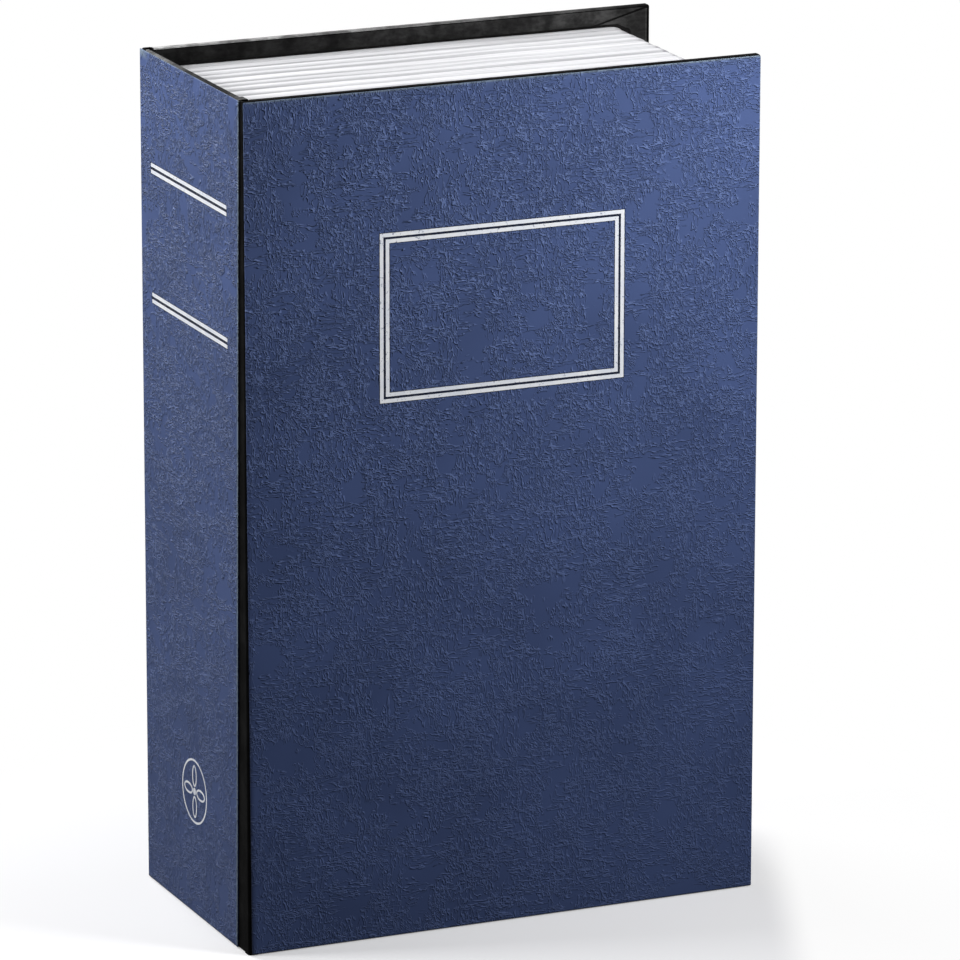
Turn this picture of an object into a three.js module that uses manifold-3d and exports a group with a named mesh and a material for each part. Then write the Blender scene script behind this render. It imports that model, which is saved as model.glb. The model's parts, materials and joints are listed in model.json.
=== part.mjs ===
import * as THREE from "three";
import { mergeVertices } from "three/addons/utils/BufferGeometryUtils.js";
import Module from "manifold-3d";

// A safe made as a small hardback book, standing on its tail. Millimetres, +Z up. The front cover
// faces -Y, the spine -X and the fore-edge +X. Inside the moulded pages sits a steel box whose
// lid has a cam lock. Everything is laid out from the book's corner: front face, spine face, tail.

// The closed book
const HEIGHT = 180;
const WIDTH = 115;
const THICKNESS = 57;

// Sheets of the covers, counted from the outside in
const PANEL = 0.3;
const WRAP = 0.3;
const COVER_BOARD = 1.3;
const SPINE_BOARD = 1.5;
const LINING = 0.2;
const GLUE = 0.05;
const TURN_IN = 14;
const PANEL_RIM = 0.15;
const LINING_RIM = 4.5;
const COVER_CORNER = 1.2;

// Cloth joint of the covers at the spine, and where the blue panels stop beside it
const JOINT_REACH = 2.4;
const JOINT_CORNER = 0.7;
const JOINT_RIM = 0.4;
const FRONT_START_HEAD = 0.3;
const FRONT_START_TAIL = 0.95;
const SPINE_START_HEAD = 2;
const SPINE_START_TAIL = 6;
const BACK_START = 0.6;

// Page block
const HEAD_RECESS = 3.6;
const FORE_RECESS = 7;
const PAGE_PITCH = 4.1;
const PAGE_GROOVE = 0.5;
const PAGE_CORNER_X = 10;
const PAGE_CORNER_Z = 3;
const SPINE_WALL = 3.8;
const HEAD_WALL = 8.4;
const FORE_WALL = 8.2;
const LEDGE = 3.2;
const COVER_CLEARANCE = 0.3;

// Steel box and its lid
const BOX_SHEET = 1;
const BOX_CORNER = 2;
const BOX_LIP = 5;
const BOX_SEAT = 0.3;
const LID_SHEET = 1;
const LID_RECESS = 1.35;
const LID_GAP = 0.6;
const LID_CORNER = 3;
const RIM_GAP = 0.85;

// Hinge of the lid
const LEAF = 0.7;
const LEAF_LENGTH = 120;
const LEAF_REACH = 12;
const KNUCKLE_RADIUS = 1.45;
const KNUCKLES = 5;
const KNUCKLE_GAP = 0.3;
const PIN_RADIUS = 0.7;
const PIN_CLEARANCE = 0.08;
const PIN_END = 0.8;
const HINGE_SWING = 2.6;
const HINGE_CLEARANCE = 0.6;
const LEAF_CLEARANCE = 0.2;

// Rivets of the lid's leaf
const RIVET_COUNT = 4;
const RIVET_PITCH = 30;
const RIVET_INSET = 7.5;
const RIVET_SHANK = 0.95;
const RIVET_HEAD = 1.7;
const RIVET_TAIL = 1.5;
const RIVET_RISE = 0.5;

// Cam lock
const LOCK_INSET = 14.5;
const LOCK_LENGTH = 14;
const LOCK_RADIUS = 5.95;
const BEZEL_RADIUS = 7.75;
const BEZEL_RISE = 1.2;
const PLUG_RADIUS = 4.55;
const RUNNING_GAP = 0.1;
const NUT_ACROSS = 14;
const NUT_HEIGHT = 3;
const LOCK_WASHER = 0.5;
const LOCK_WASHER_RADIUS = 8.4;
const WAFERS = 5;
const WAFER_PITCH = 1.6;
const WAFER_START = 1;
const WAFER_THICK = 0.8;
const WAFER_WIDTH = 4;
const WAFER_TRAVEL_LENGTH = 8;
const KEY_SLOT_WIDTH = 1.4;
const KEY_SLOT_LENGTH = 6.4;
const KEY_WINDOW_LENGTH = 5.2;
const KEY_WINDOW_WIDTH = 1.8;
const CAM_SHEET = 1.5;
const CAM_TIP_GAP = 0.45;
const CAM_WIDTH = 9;
const CAM_GAP = 0.3;
const CAM_HUB_RADIUS = 5.5;
const SQUARE = 5;
const SQUARE_CLEARANCE = 0.1;
const CAM_WASHER = 0.5;
const CAM_WASHER_RADIUS = 4.2;
const CAM_SCREW_RADIUS = 1.45;
const CAM_SCREW_HEAD = 3.2;
const CAM_SCREW_RISE = 1.8;
const CAM_SCREW_DEPTH = 5;

// Strike that the cam catches
const STRIKE_SHEET = 1;
const STRIKE_SHELF = 4;
const STRIKE_WIDTH = 16;
const STRIKE_DEPTH = 10;
const STRIKE_GAP = 0.9;

// Screws that hold the box in the page block
const SCREW_X = [24, 64];
const SCREW_BACK = 16;
const SCREW_RADIUS = 1.4;
const SCREW_HEAD = 2.6;
const SCREW_RISE = 1.5;
const SCREW_LENGTH = 7.5;
const SCREW_TIP = 1.5;
const HOLE_CLEARANCE = 0.12;

// How finely round shapes are divided
const FINE = 32;
const COARSE = 16;
const CORNER_STEPS = 5;
const CUT = 1;

// Places worked out from the sizes, from the book's corner
const WRAP_OUT = PANEL + GLUE;
const BOARD_OUT = WRAP_OUT + WRAP + GLUE;
const TURN_IN_OUT = BOARD_OUT + COVER_BOARD + GLUE;
const LINING_OUT = TURN_IN_OUT + WRAP + GLUE;
const COVER_DEPTH = LINING_OUT + LINING;
const SPINE_TURN_OUT = BOARD_OUT + SPINE_BOARD + GLUE;
const SPINE_DEPTH = SPINE_TURN_OUT + WRAP;
const SPINE_Y = COVER_DEPTH + GLUE;

const BLOCK_X0 = SPINE_DEPTH + GLUE;
const BLOCK_X1 = WIDTH - FORE_RECESS;
const BLOCK_Y0 = COVER_DEPTH + COVER_CLEARANCE;
const BLOCK_Y1 = THICKNESS - COVER_DEPTH - GLUE;
const BLOCK_Z0 = HEAD_RECESS;
const BLOCK_Z1 = HEIGHT - HEAD_RECESS;

const REBATE_X0 = BLOCK_X0 + SPINE_WALL;
const HINGE_X = REBATE_X0 + HINGE_SWING;
const LID_Y = BLOCK_Y0 + LID_RECESS;
const HINGE_Y = LID_Y - GLUE - LEAF + KNUCKLE_RADIUS;
const HINGE_Z0 = (HEIGHT - LEAF_LENGTH) / 2;

const BOX_X0 = HINGE_X + KNUCKLE_RADIUS + GLUE;
const BOX_X1 = BLOCK_X1 - FORE_WALL - BOX_SEAT;
const BOX_Y0 = LID_Y + LID_SHEET + RIM_GAP;
const BOX_Y1 = THICKNESS - COVER_DEPTH - BOX_SEAT;
const BOX_Z0 = BLOCK_Z0 + HEAD_WALL + BOX_SEAT;
const BOX_Z1 = BLOCK_Z1 - HEAD_WALL - BOX_SEAT;

const REBATE_X1 = BOX_X1 + BOX_SEAT + LEDGE;
const REBATE_Y1 = HINGE_Y + KNUCKLE_RADIUS + HINGE_CLEARANCE;
const REBATE_Z0 = BOX_Z0 - BOX_SEAT - LEDGE;
const REBATE_Z1 = BOX_Z1 + BOX_SEAT + LEDGE;

const LOCK_X = BOX_X1 - BOX_SHEET - LOCK_INSET;
const LOCK_Z = HEIGHT / 2;
const CAM_LENGTH = LOCK_INSET - STRIKE_SHEET - GLUE - CAM_TIP_GAP;
const PLUG_END = LOCK_LENGTH + CAM_GAP;
const CAM_END = PLUG_END + CAM_SHEET;
const BOSS_END = CAM_END + GLUE;
const SCREW_Y = BOX_Y1 - SCREW_BACK;

const wasm = await Module();
wasm.setup();

// Materials

function finish(color, roughness, metalness) {
  return new THREE.MeshStandardMaterial({ color, roughness, metalness });
}

const leatherette = finish(0x47578c, 0.6, 0);
const blackCloth = finish(0x1b1b1d, 0.75, 0);
const greyboard = finish(0x8d8578, 0.9, 0);
const liningPaper = finish(0x1f1f21, 0.8, 0);
const pagePlastic = finish(0xf1f1f4, 0.55, 0);
const boxPaint = finish(0x2b2d31, 0.5, 0.2);
const steel = finish(0xb9bbbe, 0.35, 1);
const chrome = finish(0xd8dadd, 0.15, 1);
const brass = finish(0xb99a52, 0.35, 1);

// Solids and the cuts made in them

function solid(geometry) {
  const bare = geometry.clone();
  bare.deleteAttribute("normal");
  bare.deleteAttribute("uv");
  const welded = mergeVertices(bare);
  const vertProperties = new Float32Array(welded.attributes.position.array);
  const triVerts = new Uint32Array(welded.index.array);
  return new wasm.Manifold(new wasm.Mesh({ numProp: 3, vertProperties, triVerts }));
}

function geometryOf(body) {
  const mesh = body.getMesh();
  const geometry = new THREE.BufferGeometry();
  geometry.setAttribute("position", new THREE.BufferAttribute(mesh.vertProperties, 3));
  geometry.setIndex(new THREE.BufferAttribute(mesh.triVerts, 1));
  geometry.computeVertexNormals();
  return geometry;
}

function cut(geometry, ...cutters) {
  let body = solid(geometry);
  for (const cutter of cutters) {
    body = body.subtract(solid(cutter));
  }
  return geometryOf(body);
}

function join(geometry, ...others) {
  let body = solid(geometry);
  for (const other of others) {
    body = body.add(solid(other));
  }
  return geometryOf(body);
}

function box(x0, x1, y0, y1, z0, z1) {
  const geometry = new THREE.BoxGeometry(x1 - x0, y1 - y0, z1 - z0);
  return geometry.translate((x0 + x1) / 2, (y0 + y1) / 2, (z0 + z1) / 2);
}

// A flat outline in X and Z, given depth along +Y from y0 to y1
function slab(shape, y0, y1) {
  const options = { depth: y1 - y0, bevelEnabled: false, curveSegments: CORNER_STEPS };
  const geometry = new THREE.ExtrudeGeometry(shape, options);
  return geometry.rotateX(Math.PI / 2).translate(0, y1, 0);
}

// A closed turned profile of [radius, y] points, turned about the Y axis
function turned(points, steps = FINE) {
  const profile = points.map(([radius, y]) => new THREE.Vector2(radius, y));
  profile.push(profile[0].clone());
  return new THREE.LatheGeometry(profile, steps);
}

function rod(radius, y0, y1, steps = FINE) {
  const geometry = new THREE.CylinderGeometry(radius, radius, y1 - y0, steps);
  return geometry.translate(0, (y0 + y1) / 2, 0);
}

function ring(inner, outer, y0, y1, steps = FINE) {
  return turned([[inner, y0], [outer, y0], [outer, y1], [inner, y1]], steps);
}

// A rod along Z instead of Y
function pillar(radius, z0, z1, steps = COARSE) {
  return rod(radius, z0, z1, steps).rotateX(Math.PI / 2);
}

function piece(parent, name, geometry, material) {
  const mesh = new THREE.Mesh(geometry, material);
  mesh.name = name;
  parent.add(mesh);
  return mesh;
}

// Outline of a cover sheet: square at the spine, round at the two fore-edge corners
function coverOutline(xTail, xHead, x1, z0, z1, radius) {
  const shape = new THREE.Shape();
  shape.moveTo(xTail, z0);
  shape.lineTo(x1 - radius, z0);
  shape.absarc(x1 - radius, z0 + radius, radius, -Math.PI / 2, 0, false);
  shape.lineTo(x1, z1 - radius);
  shape.absarc(x1 - radius, z1 - radius, radius, 0, Math.PI / 2, false);
  shape.lineTo(xHead, z1);
  shape.closePath();
  return shape;
}

// Rectangle with four round corners
function roundRect(x0, x1, z0, z1, radius) {
  const shape = new THREE.Shape();
  shape.moveTo(x0 + radius, z0);
  shape.lineTo(x1 - radius, z0);
  shape.absarc(x1 - radius, z0 + radius, radius, -Math.PI / 2, 0, false);
  shape.lineTo(x1, z1 - radius);
  shape.absarc(x1 - radius, z1 - radius, radius, 0, Math.PI / 2, false);
  shape.lineTo(x0 + radius, z1);
  shape.absarc(x0 + radius, z1 - radius, radius, Math.PI / 2, Math.PI, false);
  shape.lineTo(x0, z0 + radius);
  shape.absarc(x0 + radius, z0 + radius, radius, Math.PI, 1.5 * Math.PI, false);
  return shape;
}

// The front and back covers, each a panel on a wrap that is turned in round its board

// Depths are counted from the cover's own outer face, so the back cover is the front one mirrored
function depths(isBack, from, to) {
  return isBack ? [THICKNESS - to, THICKNESS - from] : [from, to];
}

function coverPanel(isBack) {
  const xTail = isBack ? BACK_START : FRONT_START_TAIL;
  const xHead = isBack ? BACK_START : FRONT_START_HEAD;
  const radius = COVER_CORNER - PANEL_RIM;
  const edge = WIDTH - PANEL_RIM;
  const outline = coverOutline(xTail, xHead, edge, PANEL_RIM, HEIGHT - PANEL_RIM, radius);
  return slab(outline, ...depths(isBack, 0, PANEL));
}

function coverWrap(isBack) {
  const outer = coverOutline(JOINT_REACH, JOINT_REACH, WIDTH, 0, HEIGHT, COVER_CORNER);
  const open = JOINT_REACH - CUT;
  const inner = COVER_CORNER - WRAP;
  const pocket = coverOutline(open, open, WIDTH - WRAP, WRAP, HEIGHT - WRAP, inner);
  const window = coverOutline(open, open, WIDTH - TURN_IN, TURN_IN, HEIGHT - TURN_IN, inner);
  return cut(
    slab(outer, ...depths(isBack, WRAP_OUT, TURN_IN_OUT + WRAP)),
    slab(pocket, ...depths(isBack, WRAP_OUT + WRAP, TURN_IN_OUT)),
    slab(window, ...depths(isBack, BOARD_OUT, LINING_OUT)),
  );
}

function coverBoard(isBack) {
  const rim = WRAP + GLUE;
  const radius = COVER_CORNER - rim;
  const outline = coverOutline(JOINT_REACH, JOINT_REACH, WIDTH - rim, rim, HEIGHT - rim, radius);
  return slab(outline, ...depths(isBack, BOARD_OUT, BOARD_OUT + COVER_BOARD));
}

// The lining is thicker inside the turned-in edges, where it lies on the board itself
function coverLining(isBack) {
  const start = JOINT_REACH + GLUE;
  const rim = LINING_RIM;
  const sheet = coverOutline(start, start, WIDTH - rim, rim, HEIGHT - rim, COVER_CORNER);
  const inset = TURN_IN + GLUE;
  const pad = coverOutline(start, start, WIDTH - inset, inset, HEIGHT - inset, COVER_CORNER);
  return join(
    slab(sheet, ...depths(isBack, LINING_OUT, COVER_DEPTH)),
    slab(pad, ...depths(isBack, TURN_IN_OUT, COVER_DEPTH)),
  );
}

function addCover(parent, side) {
  const isBack = side === "back";
  piece(parent, `${side}_panel`, coverPanel(isBack), leatherette);
  piece(parent, `${side}_wrap`, coverWrap(isBack), blackCloth);
  piece(parent, `${side}_board`, coverBoard(isBack), greyboard);
  piece(parent, `${side}_lining`, coverLining(isBack), liningPaper);
}

// Spine

// The black strip beside the panel widens towards the tail
function spinePanel() {
  const shape = new THREE.Shape();
  shape.moveTo(SPINE_START_TAIL, PANEL_RIM);
  shape.lineTo(THICKNESS - PANEL_RIM, PANEL_RIM);
  shape.lineTo(THICKNESS - PANEL_RIM, HEIGHT - PANEL_RIM);
  shape.lineTo(SPINE_START_HEAD, HEIGHT - PANEL_RIM);
  shape.closePath();
  return slab(shape, 0, PANEL).rotateZ(Math.PI / 2).translate(PANEL, 0, 0);
}

function spineWrap() {
  const shape = new THREE.Shape();
  const outer = WRAP_OUT;
  const inner = WRAP_OUT + WRAP;
  shape.moveTo(outer, 0);
  shape.lineTo(SPINE_DEPTH, 0);
  shape.lineTo(SPINE_DEPTH, TURN_IN);
  shape.lineTo(SPINE_TURN_OUT, TURN_IN);
  shape.lineTo(SPINE_TURN_OUT, WRAP);
  shape.lineTo(inner, WRAP);
  shape.lineTo(inner, HEIGHT - WRAP);
  shape.lineTo(SPINE_TURN_OUT, HEIGHT - WRAP);
  shape.lineTo(SPINE_TURN_OUT, HEIGHT - TURN_IN);
  shape.lineTo(SPINE_DEPTH, HEIGHT - TURN_IN);
  shape.lineTo(SPINE_DEPTH, HEIGHT);
  shape.lineTo(outer, HEIGHT);
  shape.closePath();
  return slab(shape, SPINE_Y, THICKNESS - SPINE_Y);
}

function spineBoard() {
  const rim = WRAP + GLUE;
  const x1 = BOARD_OUT + SPINE_BOARD;
  return box(BOARD_OUT, x1, SPINE_Y, THICKNESS - SPINE_Y, rim, HEIGHT - rim);
}

function addSpine(parent) {
  piece(parent, "spine_panel", spinePanel(), leatherette);
  piece(parent, "spine_wrap", spineWrap(), blackCloth);
  piece(parent, "spine_board", spineBoard(), greyboard);
}

// Cloth that runs round a corner of the book, from the cover's wrap to the spine's
function hingeCloth() {
  const reachX = JOINT_REACH - GLUE;
  const reachY = SPINE_Y - GLUE;
  const centre = WRAP_OUT + JOINT_CORNER;
  const inner = WRAP_OUT + WRAP;
  const shape = new THREE.Shape();
  shape.moveTo(reachX, inner);
  shape.lineTo(reachX, WRAP_OUT);
  shape.lineTo(centre, WRAP_OUT);
  shape.absarc(centre, centre, JOINT_CORNER, -Math.PI / 2, -Math.PI, true);
  shape.lineTo(WRAP_OUT, reachY);
  shape.lineTo(inner, reachY);
  shape.lineTo(inner, centre);
  shape.absarc(centre, centre, JOINT_CORNER - WRAP, Math.PI, 1.5 * Math.PI, false);
  shape.closePath();
  const options = { depth: HEIGHT - 2 * JOINT_RIM, bevelEnabled: false, curveSegments: CORNER_STEPS };
  return new THREE.ExtrudeGeometry(shape, options);
}

function addHingeCloths(parent) {
  const front = piece(parent, "front_hinge_cloth", hingeCloth(), blackCloth);
  front.position.z = JOINT_RIM;
  const back = piece(parent, "back_hinge_cloth", hingeCloth(), blackCloth);
  back.rotation.x = Math.PI;
  back.position.set(0, THICKNESS, HEIGHT - JOINT_RIM);
}

// Page block

// One ring of the block's outline, drawn in by the depth of a groove at head, fore-edge and tail
function pageRing(inset, y) {
  const x1 = BLOCK_X1 - inset;
  const z0 = BLOCK_Z0 + inset;
  const z1 = BLOCK_Z1 - inset;
  const points = [[BLOCK_X0, y, z1], [BLOCK_X0, y, z0]];
  for (let step = 0; step <= CORNER_STEPS; step += 1) {
    const angle = (step / CORNER_STEPS) * (Math.PI / 2);
    const x = x1 - PAGE_CORNER_X * (1 - Math.sin(angle));
    points.push([x, y, z0 + PAGE_CORNER_Z * (1 - Math.cos(angle))]);
  }
  for (let step = CORNER_STEPS; step >= 0; step -= 1) {
    const angle = (step / CORNER_STEPS) * (Math.PI / 2);
    const x = x1 - PAGE_CORNER_X * (1 - Math.sin(angle));
    points.push([x, y, z1 - PAGE_CORNER_Z * (1 - Math.cos(angle))]);
  }
  return points;
}

// Each ridge rises from a groove, is nearly flat across its middle, and falls to the next groove
function pageRings() {
  const depth = BLOCK_Y1 - BLOCK_Y0;
  const count = Math.round(depth / PAGE_PITCH);
  const pitch = depth / count;
  const profile = [[0, 1], [0.12, 0.35], [0.3, 0.06], [0.7, 0], [0.88, 0.35]];
  const rings = [];
  for (let ridge = 0; ridge < count; ridge += 1) {
    for (const [along, down] of profile) {
      rings.push(pageRing(down * PAGE_GROOVE, BLOCK_Y0 + (ridge + along) * pitch));
    }
  }
  rings.push(pageRing(PAGE_GROOVE, BLOCK_Y1));
  return rings;
}

function ridgedBlock() {
  const rings = pageRings();
  const around = rings[0].length;
  const triangles = [];
  for (let level = 0; level + 1 < rings.length; level += 1) {
    for (let at = 0; at < around; at += 1) {
      const next = (at + 1) % around;
      const a = level * around + at;
      const b = level * around + next;
      triangles.push(a, b + around, b, a, a + around, b + around);
    }
  }
  const last = (rings.length - 1) * around;
  for (let at = 1; at + 1 < around; at += 1) {
    triangles.push(0, at, at + 1, last, last + at + 1, last + at);
  }
  const geometry = new THREE.BufferGeometry();
  geometry.setAttribute("position", new THREE.Float32BufferAttribute(rings.flat(2), 3));
  geometry.setIndex(triangles);
  return geometry;
}

function pageBlock() {
  const corner = LID_CORNER + LID_GAP;
  const rebate = coverOutline(REBATE_X0, REBATE_X0, REBATE_X1, REBATE_Z0, REBATE_Z1, corner);
  const cavityX0 = BOX_X0 - GLUE - LEAF - BOX_SEAT;
  const cavity = roundRect(
    cavityX0, BOX_X1 + BOX_SEAT, BOX_Z0 - BOX_SEAT, BOX_Z1 + BOX_SEAT, BOX_CORNER + BOX_SEAT,
  );
  return cut(
    ridgedBlock(),
    slab(rebate, BLOCK_Y0 - CUT, REBATE_Y1),
    slab(cavity, REBATE_Y1 - CUT, BLOCK_Y1 + CUT),
    ...screwHoles(SCREW_RADIUS + HOLE_CLEARANCE),
  );
}

// Steel box

function screwHoles(radius) {
  const reach = SCREW_LENGTH + BOX_SHEET + BOX_SEAT;
  const holes = [];
  for (const x of SCREW_X) {
    for (const z of [BOX_Z0 + BOX_SHEET - reach, BOX_Z1 - BOX_SHEET]) {
      const hole = pillar(radius, z, z + reach);
      holes.push(hole.translate(BOX_X0 + x, SCREW_Y, 0));
    }
  }
  return holes;
}

function safeBox() {
  const sheet = BOX_SHEET;
  const inner = BOX_CORNER - sheet / 2;
  const outline = roundRect(BOX_X0, BOX_X1, BOX_Z0, BOX_Z1, BOX_CORNER);
  const hollow = roundRect(
    BOX_X0 + sheet, BOX_X1 - sheet, BOX_Z0 + sheet, BOX_Z1 - sheet, inner,
  );
  const mouth = roundRect(
    BOX_X0 + BOX_LIP, BOX_X1 - BOX_LIP, BOX_Z0 + BOX_LIP, BOX_Z1 - BOX_LIP, BOX_CORNER,
  );
  return cut(
    slab(outline, BOX_Y0, BOX_Y1),
    slab(hollow, BOX_Y0 + sheet, BOX_Y1 - sheet),
    slab(mouth, BOX_Y0 - CUT, BOX_Y0 + sheet + CUT),
    ...screwHoles(SCREW_RADIUS + HOLE_CLEARANCE),
  );
}

// The strike is an angle on the fore-edge wall, with its shelf just in front of the locked cam
function camStrike() {
  const wall = BOX_X1 - BOX_SHEET - GLUE;
  const front = LID_Y + PLUG_END - STRIKE_GAP - STRIKE_SHEET;
  const z0 = LOCK_Z - STRIKE_WIDTH / 2;
  const z1 = LOCK_Z + STRIKE_WIDTH / 2;
  const shelf = wall - STRIKE_SHEET - STRIKE_SHELF;
  return join(
    box(wall - STRIKE_SHEET, wall, front, front + STRIKE_DEPTH, z0, z1),
    box(shelf, wall, front, front + STRIKE_SHEET, z0, z1),
  );
}

// Pan-head screw along +Y, with its head's underside at the origin
function boxScrew() {
  const bevel = SCREW_RISE / 3;
  return turned([
    [0, -SCREW_RISE], [SCREW_HEAD - bevel, -SCREW_RISE], [SCREW_HEAD, -SCREW_RISE + bevel],
    [SCREW_HEAD, -GLUE], [SCREW_RADIUS, -GLUE], [SCREW_RADIUS, SCREW_LENGTH - SCREW_TIP],
    [0, SCREW_LENGTH],
  ], COARSE);
}

function addBoxScrews(parent) {
  let count = 0;
  for (const x of SCREW_X) {
    for (const up of [false, true]) {
      count += 1;
      const screw = piece(parent, `box_screw_${count}`, boxScrew(), steel);
      screw.rotation.x = up ? Math.PI / 2 : -Math.PI / 2;
      const z = up ? BOX_Z1 - BOX_SHEET : BOX_Z0 + BOX_SHEET;
      screw.position.set(BOX_X0 + x, SCREW_Y, z);
    }
  }
}

// Hinge of the lid: two leaves with knuckles in turn on one pin, all about the pin's axis

function knuckles(own, tabX0, tabX1, tabY0, tabY1) {
  const length = LEAF_LENGTH / KNUCKLES;
  const solids = [];
  for (let index = own; index < KNUCKLES; index += 2) {
    const z0 = index * length + KNUCKLE_GAP / 2;
    const z1 = (index + 1) * length - KNUCKLE_GAP / 2;
    solids.push(pillar(KNUCKLE_RADIUS, z0, z1));
    solids.push(box(tabX0, tabX1, tabY0, tabY1, z0, z1));
  }
  return solids;
}

function bored(geometry) {
  const hole = PIN_RADIUS + PIN_CLEARANCE;
  return cut(geometry, pillar(hole, -CUT, LEAF_LENGTH + CUT));
}

function boxLeaf() {
  const start = KNUCKLE_RADIUS + LEAF_CLEARANCE;
  const x0 = KNUCKLE_RADIUS - LEAF;
  const plate = box(x0, KNUCKLE_RADIUS, start, LEAF_REACH, 0, LEAF_LENGTH);
  return bored(join(plate, ...knuckles(0, x0, KNUCKLE_RADIUS, 0, start + LEAF_CLEARANCE)));
}

function rivetPlaces() {
  const places = [];
  for (let index = 0; index < RIVET_COUNT; index += 1) {
    places.push(LEAF_LENGTH / 2 + (index - (RIVET_COUNT - 1) / 2) * RIVET_PITCH);
  }
  return places;
}

function rivetHoles(x, z0) {
  const radius = RIVET_SHANK + HOLE_CLEARANCE;
  return rivetPlaces().map((z) => rod(radius, -CUT - LEAF - LID_SHEET, CUT + LID_SHEET, COARSE)
    .translate(x, 0, z0 + z));
}

function lidLeaf() {
  const start = KNUCKLE_RADIUS + LEAF_CLEARANCE;
  const y0 = -KNUCKLE_RADIUS;
  const plate = box(start, LEAF_REACH, y0, y0 + LEAF, 0, LEAF_LENGTH);
  const tabs = knuckles(1, 0, start + LEAF_CLEARANCE, y0, y0 + LEAF);
  return cut(bored(join(plate, ...tabs)), ...rivetHoles(RIVET_INSET, 0));
}

// Rivet along +Y: head in front of the leaf, tail behind the lid
function rivet() {
  const grip = LEAF + GLUE + LID_SHEET + GLUE;
  const dome = RIVET_RISE / 2;
  return turned([
    [0, -RIVET_RISE], [RIVET_HEAD - dome, -RIVET_RISE], [RIVET_HEAD, -dome], [RIVET_HEAD, -GLUE],
    [RIVET_SHANK, -GLUE], [RIVET_SHANK, grip], [RIVET_TAIL, grip], [RIVET_TAIL, grip + dome],
    [0, grip + RIVET_RISE],
  ], COARSE);
}

function hingePin() {
  const half = LEAF_LENGTH / 2 + PIN_END;
  const bevel = PIN_RADIUS / 3;
  return turned([
    [0, -half], [PIN_RADIUS - bevel, -half], [PIN_RADIUS, bevel - half],
    [PIN_RADIUS, half - bevel], [PIN_RADIUS - bevel, half], [0, half],
  ], COARSE).rotateX(Math.PI / 2);
}

function addHinge(parent) {
  const fixed = piece(parent, "hinge_leaf_box", boxLeaf(), steel);
  const moving = piece(parent, "hinge_leaf_lid", lidLeaf(), steel);
  for (const leaf of [fixed, moving]) {
    leaf.position.set(HINGE_X, HINGE_Y, HINGE_Z0);
  }
  piece(parent, "hinge_pin", hingePin(), steel).position.set(HINGE_X, HINGE_Y, HEIGHT / 2);
  rivetPlaces().forEach((z, index) => {
    const head = piece(parent, `lid_rivet_${index + 1}`, rivet(), steel);
    head.position.set(HINGE_X + RIVET_INSET, HINGE_Y - KNUCKLE_RADIUS, HINGE_Z0 + z);
  });
}

// Lid

function lidPlate() {
  const x0 = HINGE_X + KNUCKLE_RADIUS + LEAF_CLEARANCE;
  const x1 = REBATE_X1 - LID_GAP;
  const z0 = REBATE_Z0 + LID_GAP;
  const z1 = REBATE_Z1 - LID_GAP;
  const hole = rod(LOCK_RADIUS + HOLE_CLEARANCE, -CUT, LID_SHEET + CUT);
  const outline = coverOutline(x0, x0, x1, z0, z1, LID_CORNER);
  return cut(
    slab(outline, 0, LID_SHEET),
    hole.translate(LOCK_X, 0, LOCK_Z),
    ...rivetHoles(HINGE_X + RIVET_INSET, HINGE_Z0),
  );
}

// Cam lock, about its own axis along +Y from the front of the lid

function lockBody() {
  const bore = PLUG_RADIUS + RUNNING_GAP;
  const bevel = BEZEL_RISE / 2;
  return turned([
    [bore, -BEZEL_RISE], [BEZEL_RADIUS - bevel, -BEZEL_RISE], [BEZEL_RADIUS, -bevel],
    [BEZEL_RADIUS, -GLUE], [LOCK_RADIUS, -GLUE], [LOCK_RADIUS, LOCK_LENGTH], [bore, LOCK_LENGTH],
  ]);
}

function lockNut() {
  const start = LID_SHEET + GLUE + LOCK_WASHER + GLUE;
  const corner = NUT_ACROSS / 2 / Math.cos(Math.PI / 6);
  const hexagon = rod(corner, start, start + NUT_HEIGHT, 6);
  const hole = rod(LOCK_RADIUS + HOLE_CLEARANCE, start - CUT, start + NUT_HEIGHT + CUT);
  return cut(hexagon, hole);
}

function waferPlace(index) {
  return WAFER_START + index * WAFER_PITCH;
}

// The key slot lies level at rest, which is the unlocked place of the plug
function lockPlug() {
  const slotEnd = waferPlace(WAFERS) + RUNNING_GAP;
  const slot = box(
    -KEY_SLOT_LENGTH / 2, KEY_SLOT_LENGTH / 2, -BEZEL_RISE - CUT, slotEnd,
    -KEY_SLOT_WIDTH / 2, KEY_SLOT_WIDTH / 2,
  );
  const wide = WAFER_WIDTH / 2 + RUNNING_GAP;
  const slots = [];
  for (let index = 0; index < WAFERS; index += 1) {
    const y0 = waferPlace(index) - RUNNING_GAP / 2;
    const y1 = y0 + WAFER_THICK + RUNNING_GAP;
    slots.push(box(-PLUG_RADIUS - CUT, PLUG_RADIUS + CUT, y0, y1, -wide, wide));
  }
  const half = SQUARE / 2;
  const shaft = join(
    rod(PLUG_RADIUS, -BEZEL_RISE, LOCK_LENGTH + CAM_GAP / 2),
    box(-half, half, LOCK_LENGTH, BOSS_END, -half, half),
  );
  const tapped = rod(CAM_SCREW_RADIUS + RUNNING_GAP, BOSS_END - CAM_SCREW_DEPTH, BOSS_END + CUT, COARSE);
  return cut(shaft, slot, tapped, ...slots);
}

function wafer() {
  const half = WAFER_TRAVEL_LENGTH / 2;
  const wide = WAFER_WIDTH / 2;
  const windowHalf = KEY_WINDOW_LENGTH / 2;
  const windowWide = KEY_WINDOW_WIDTH / 2;
  return cut(
    box(-half, half, 0, WAFER_THICK, -wide, wide),
    box(-windowHalf, windowHalf, -CUT, WAFER_THICK + CUT, -windowWide, windowWide),
  );
}

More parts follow.
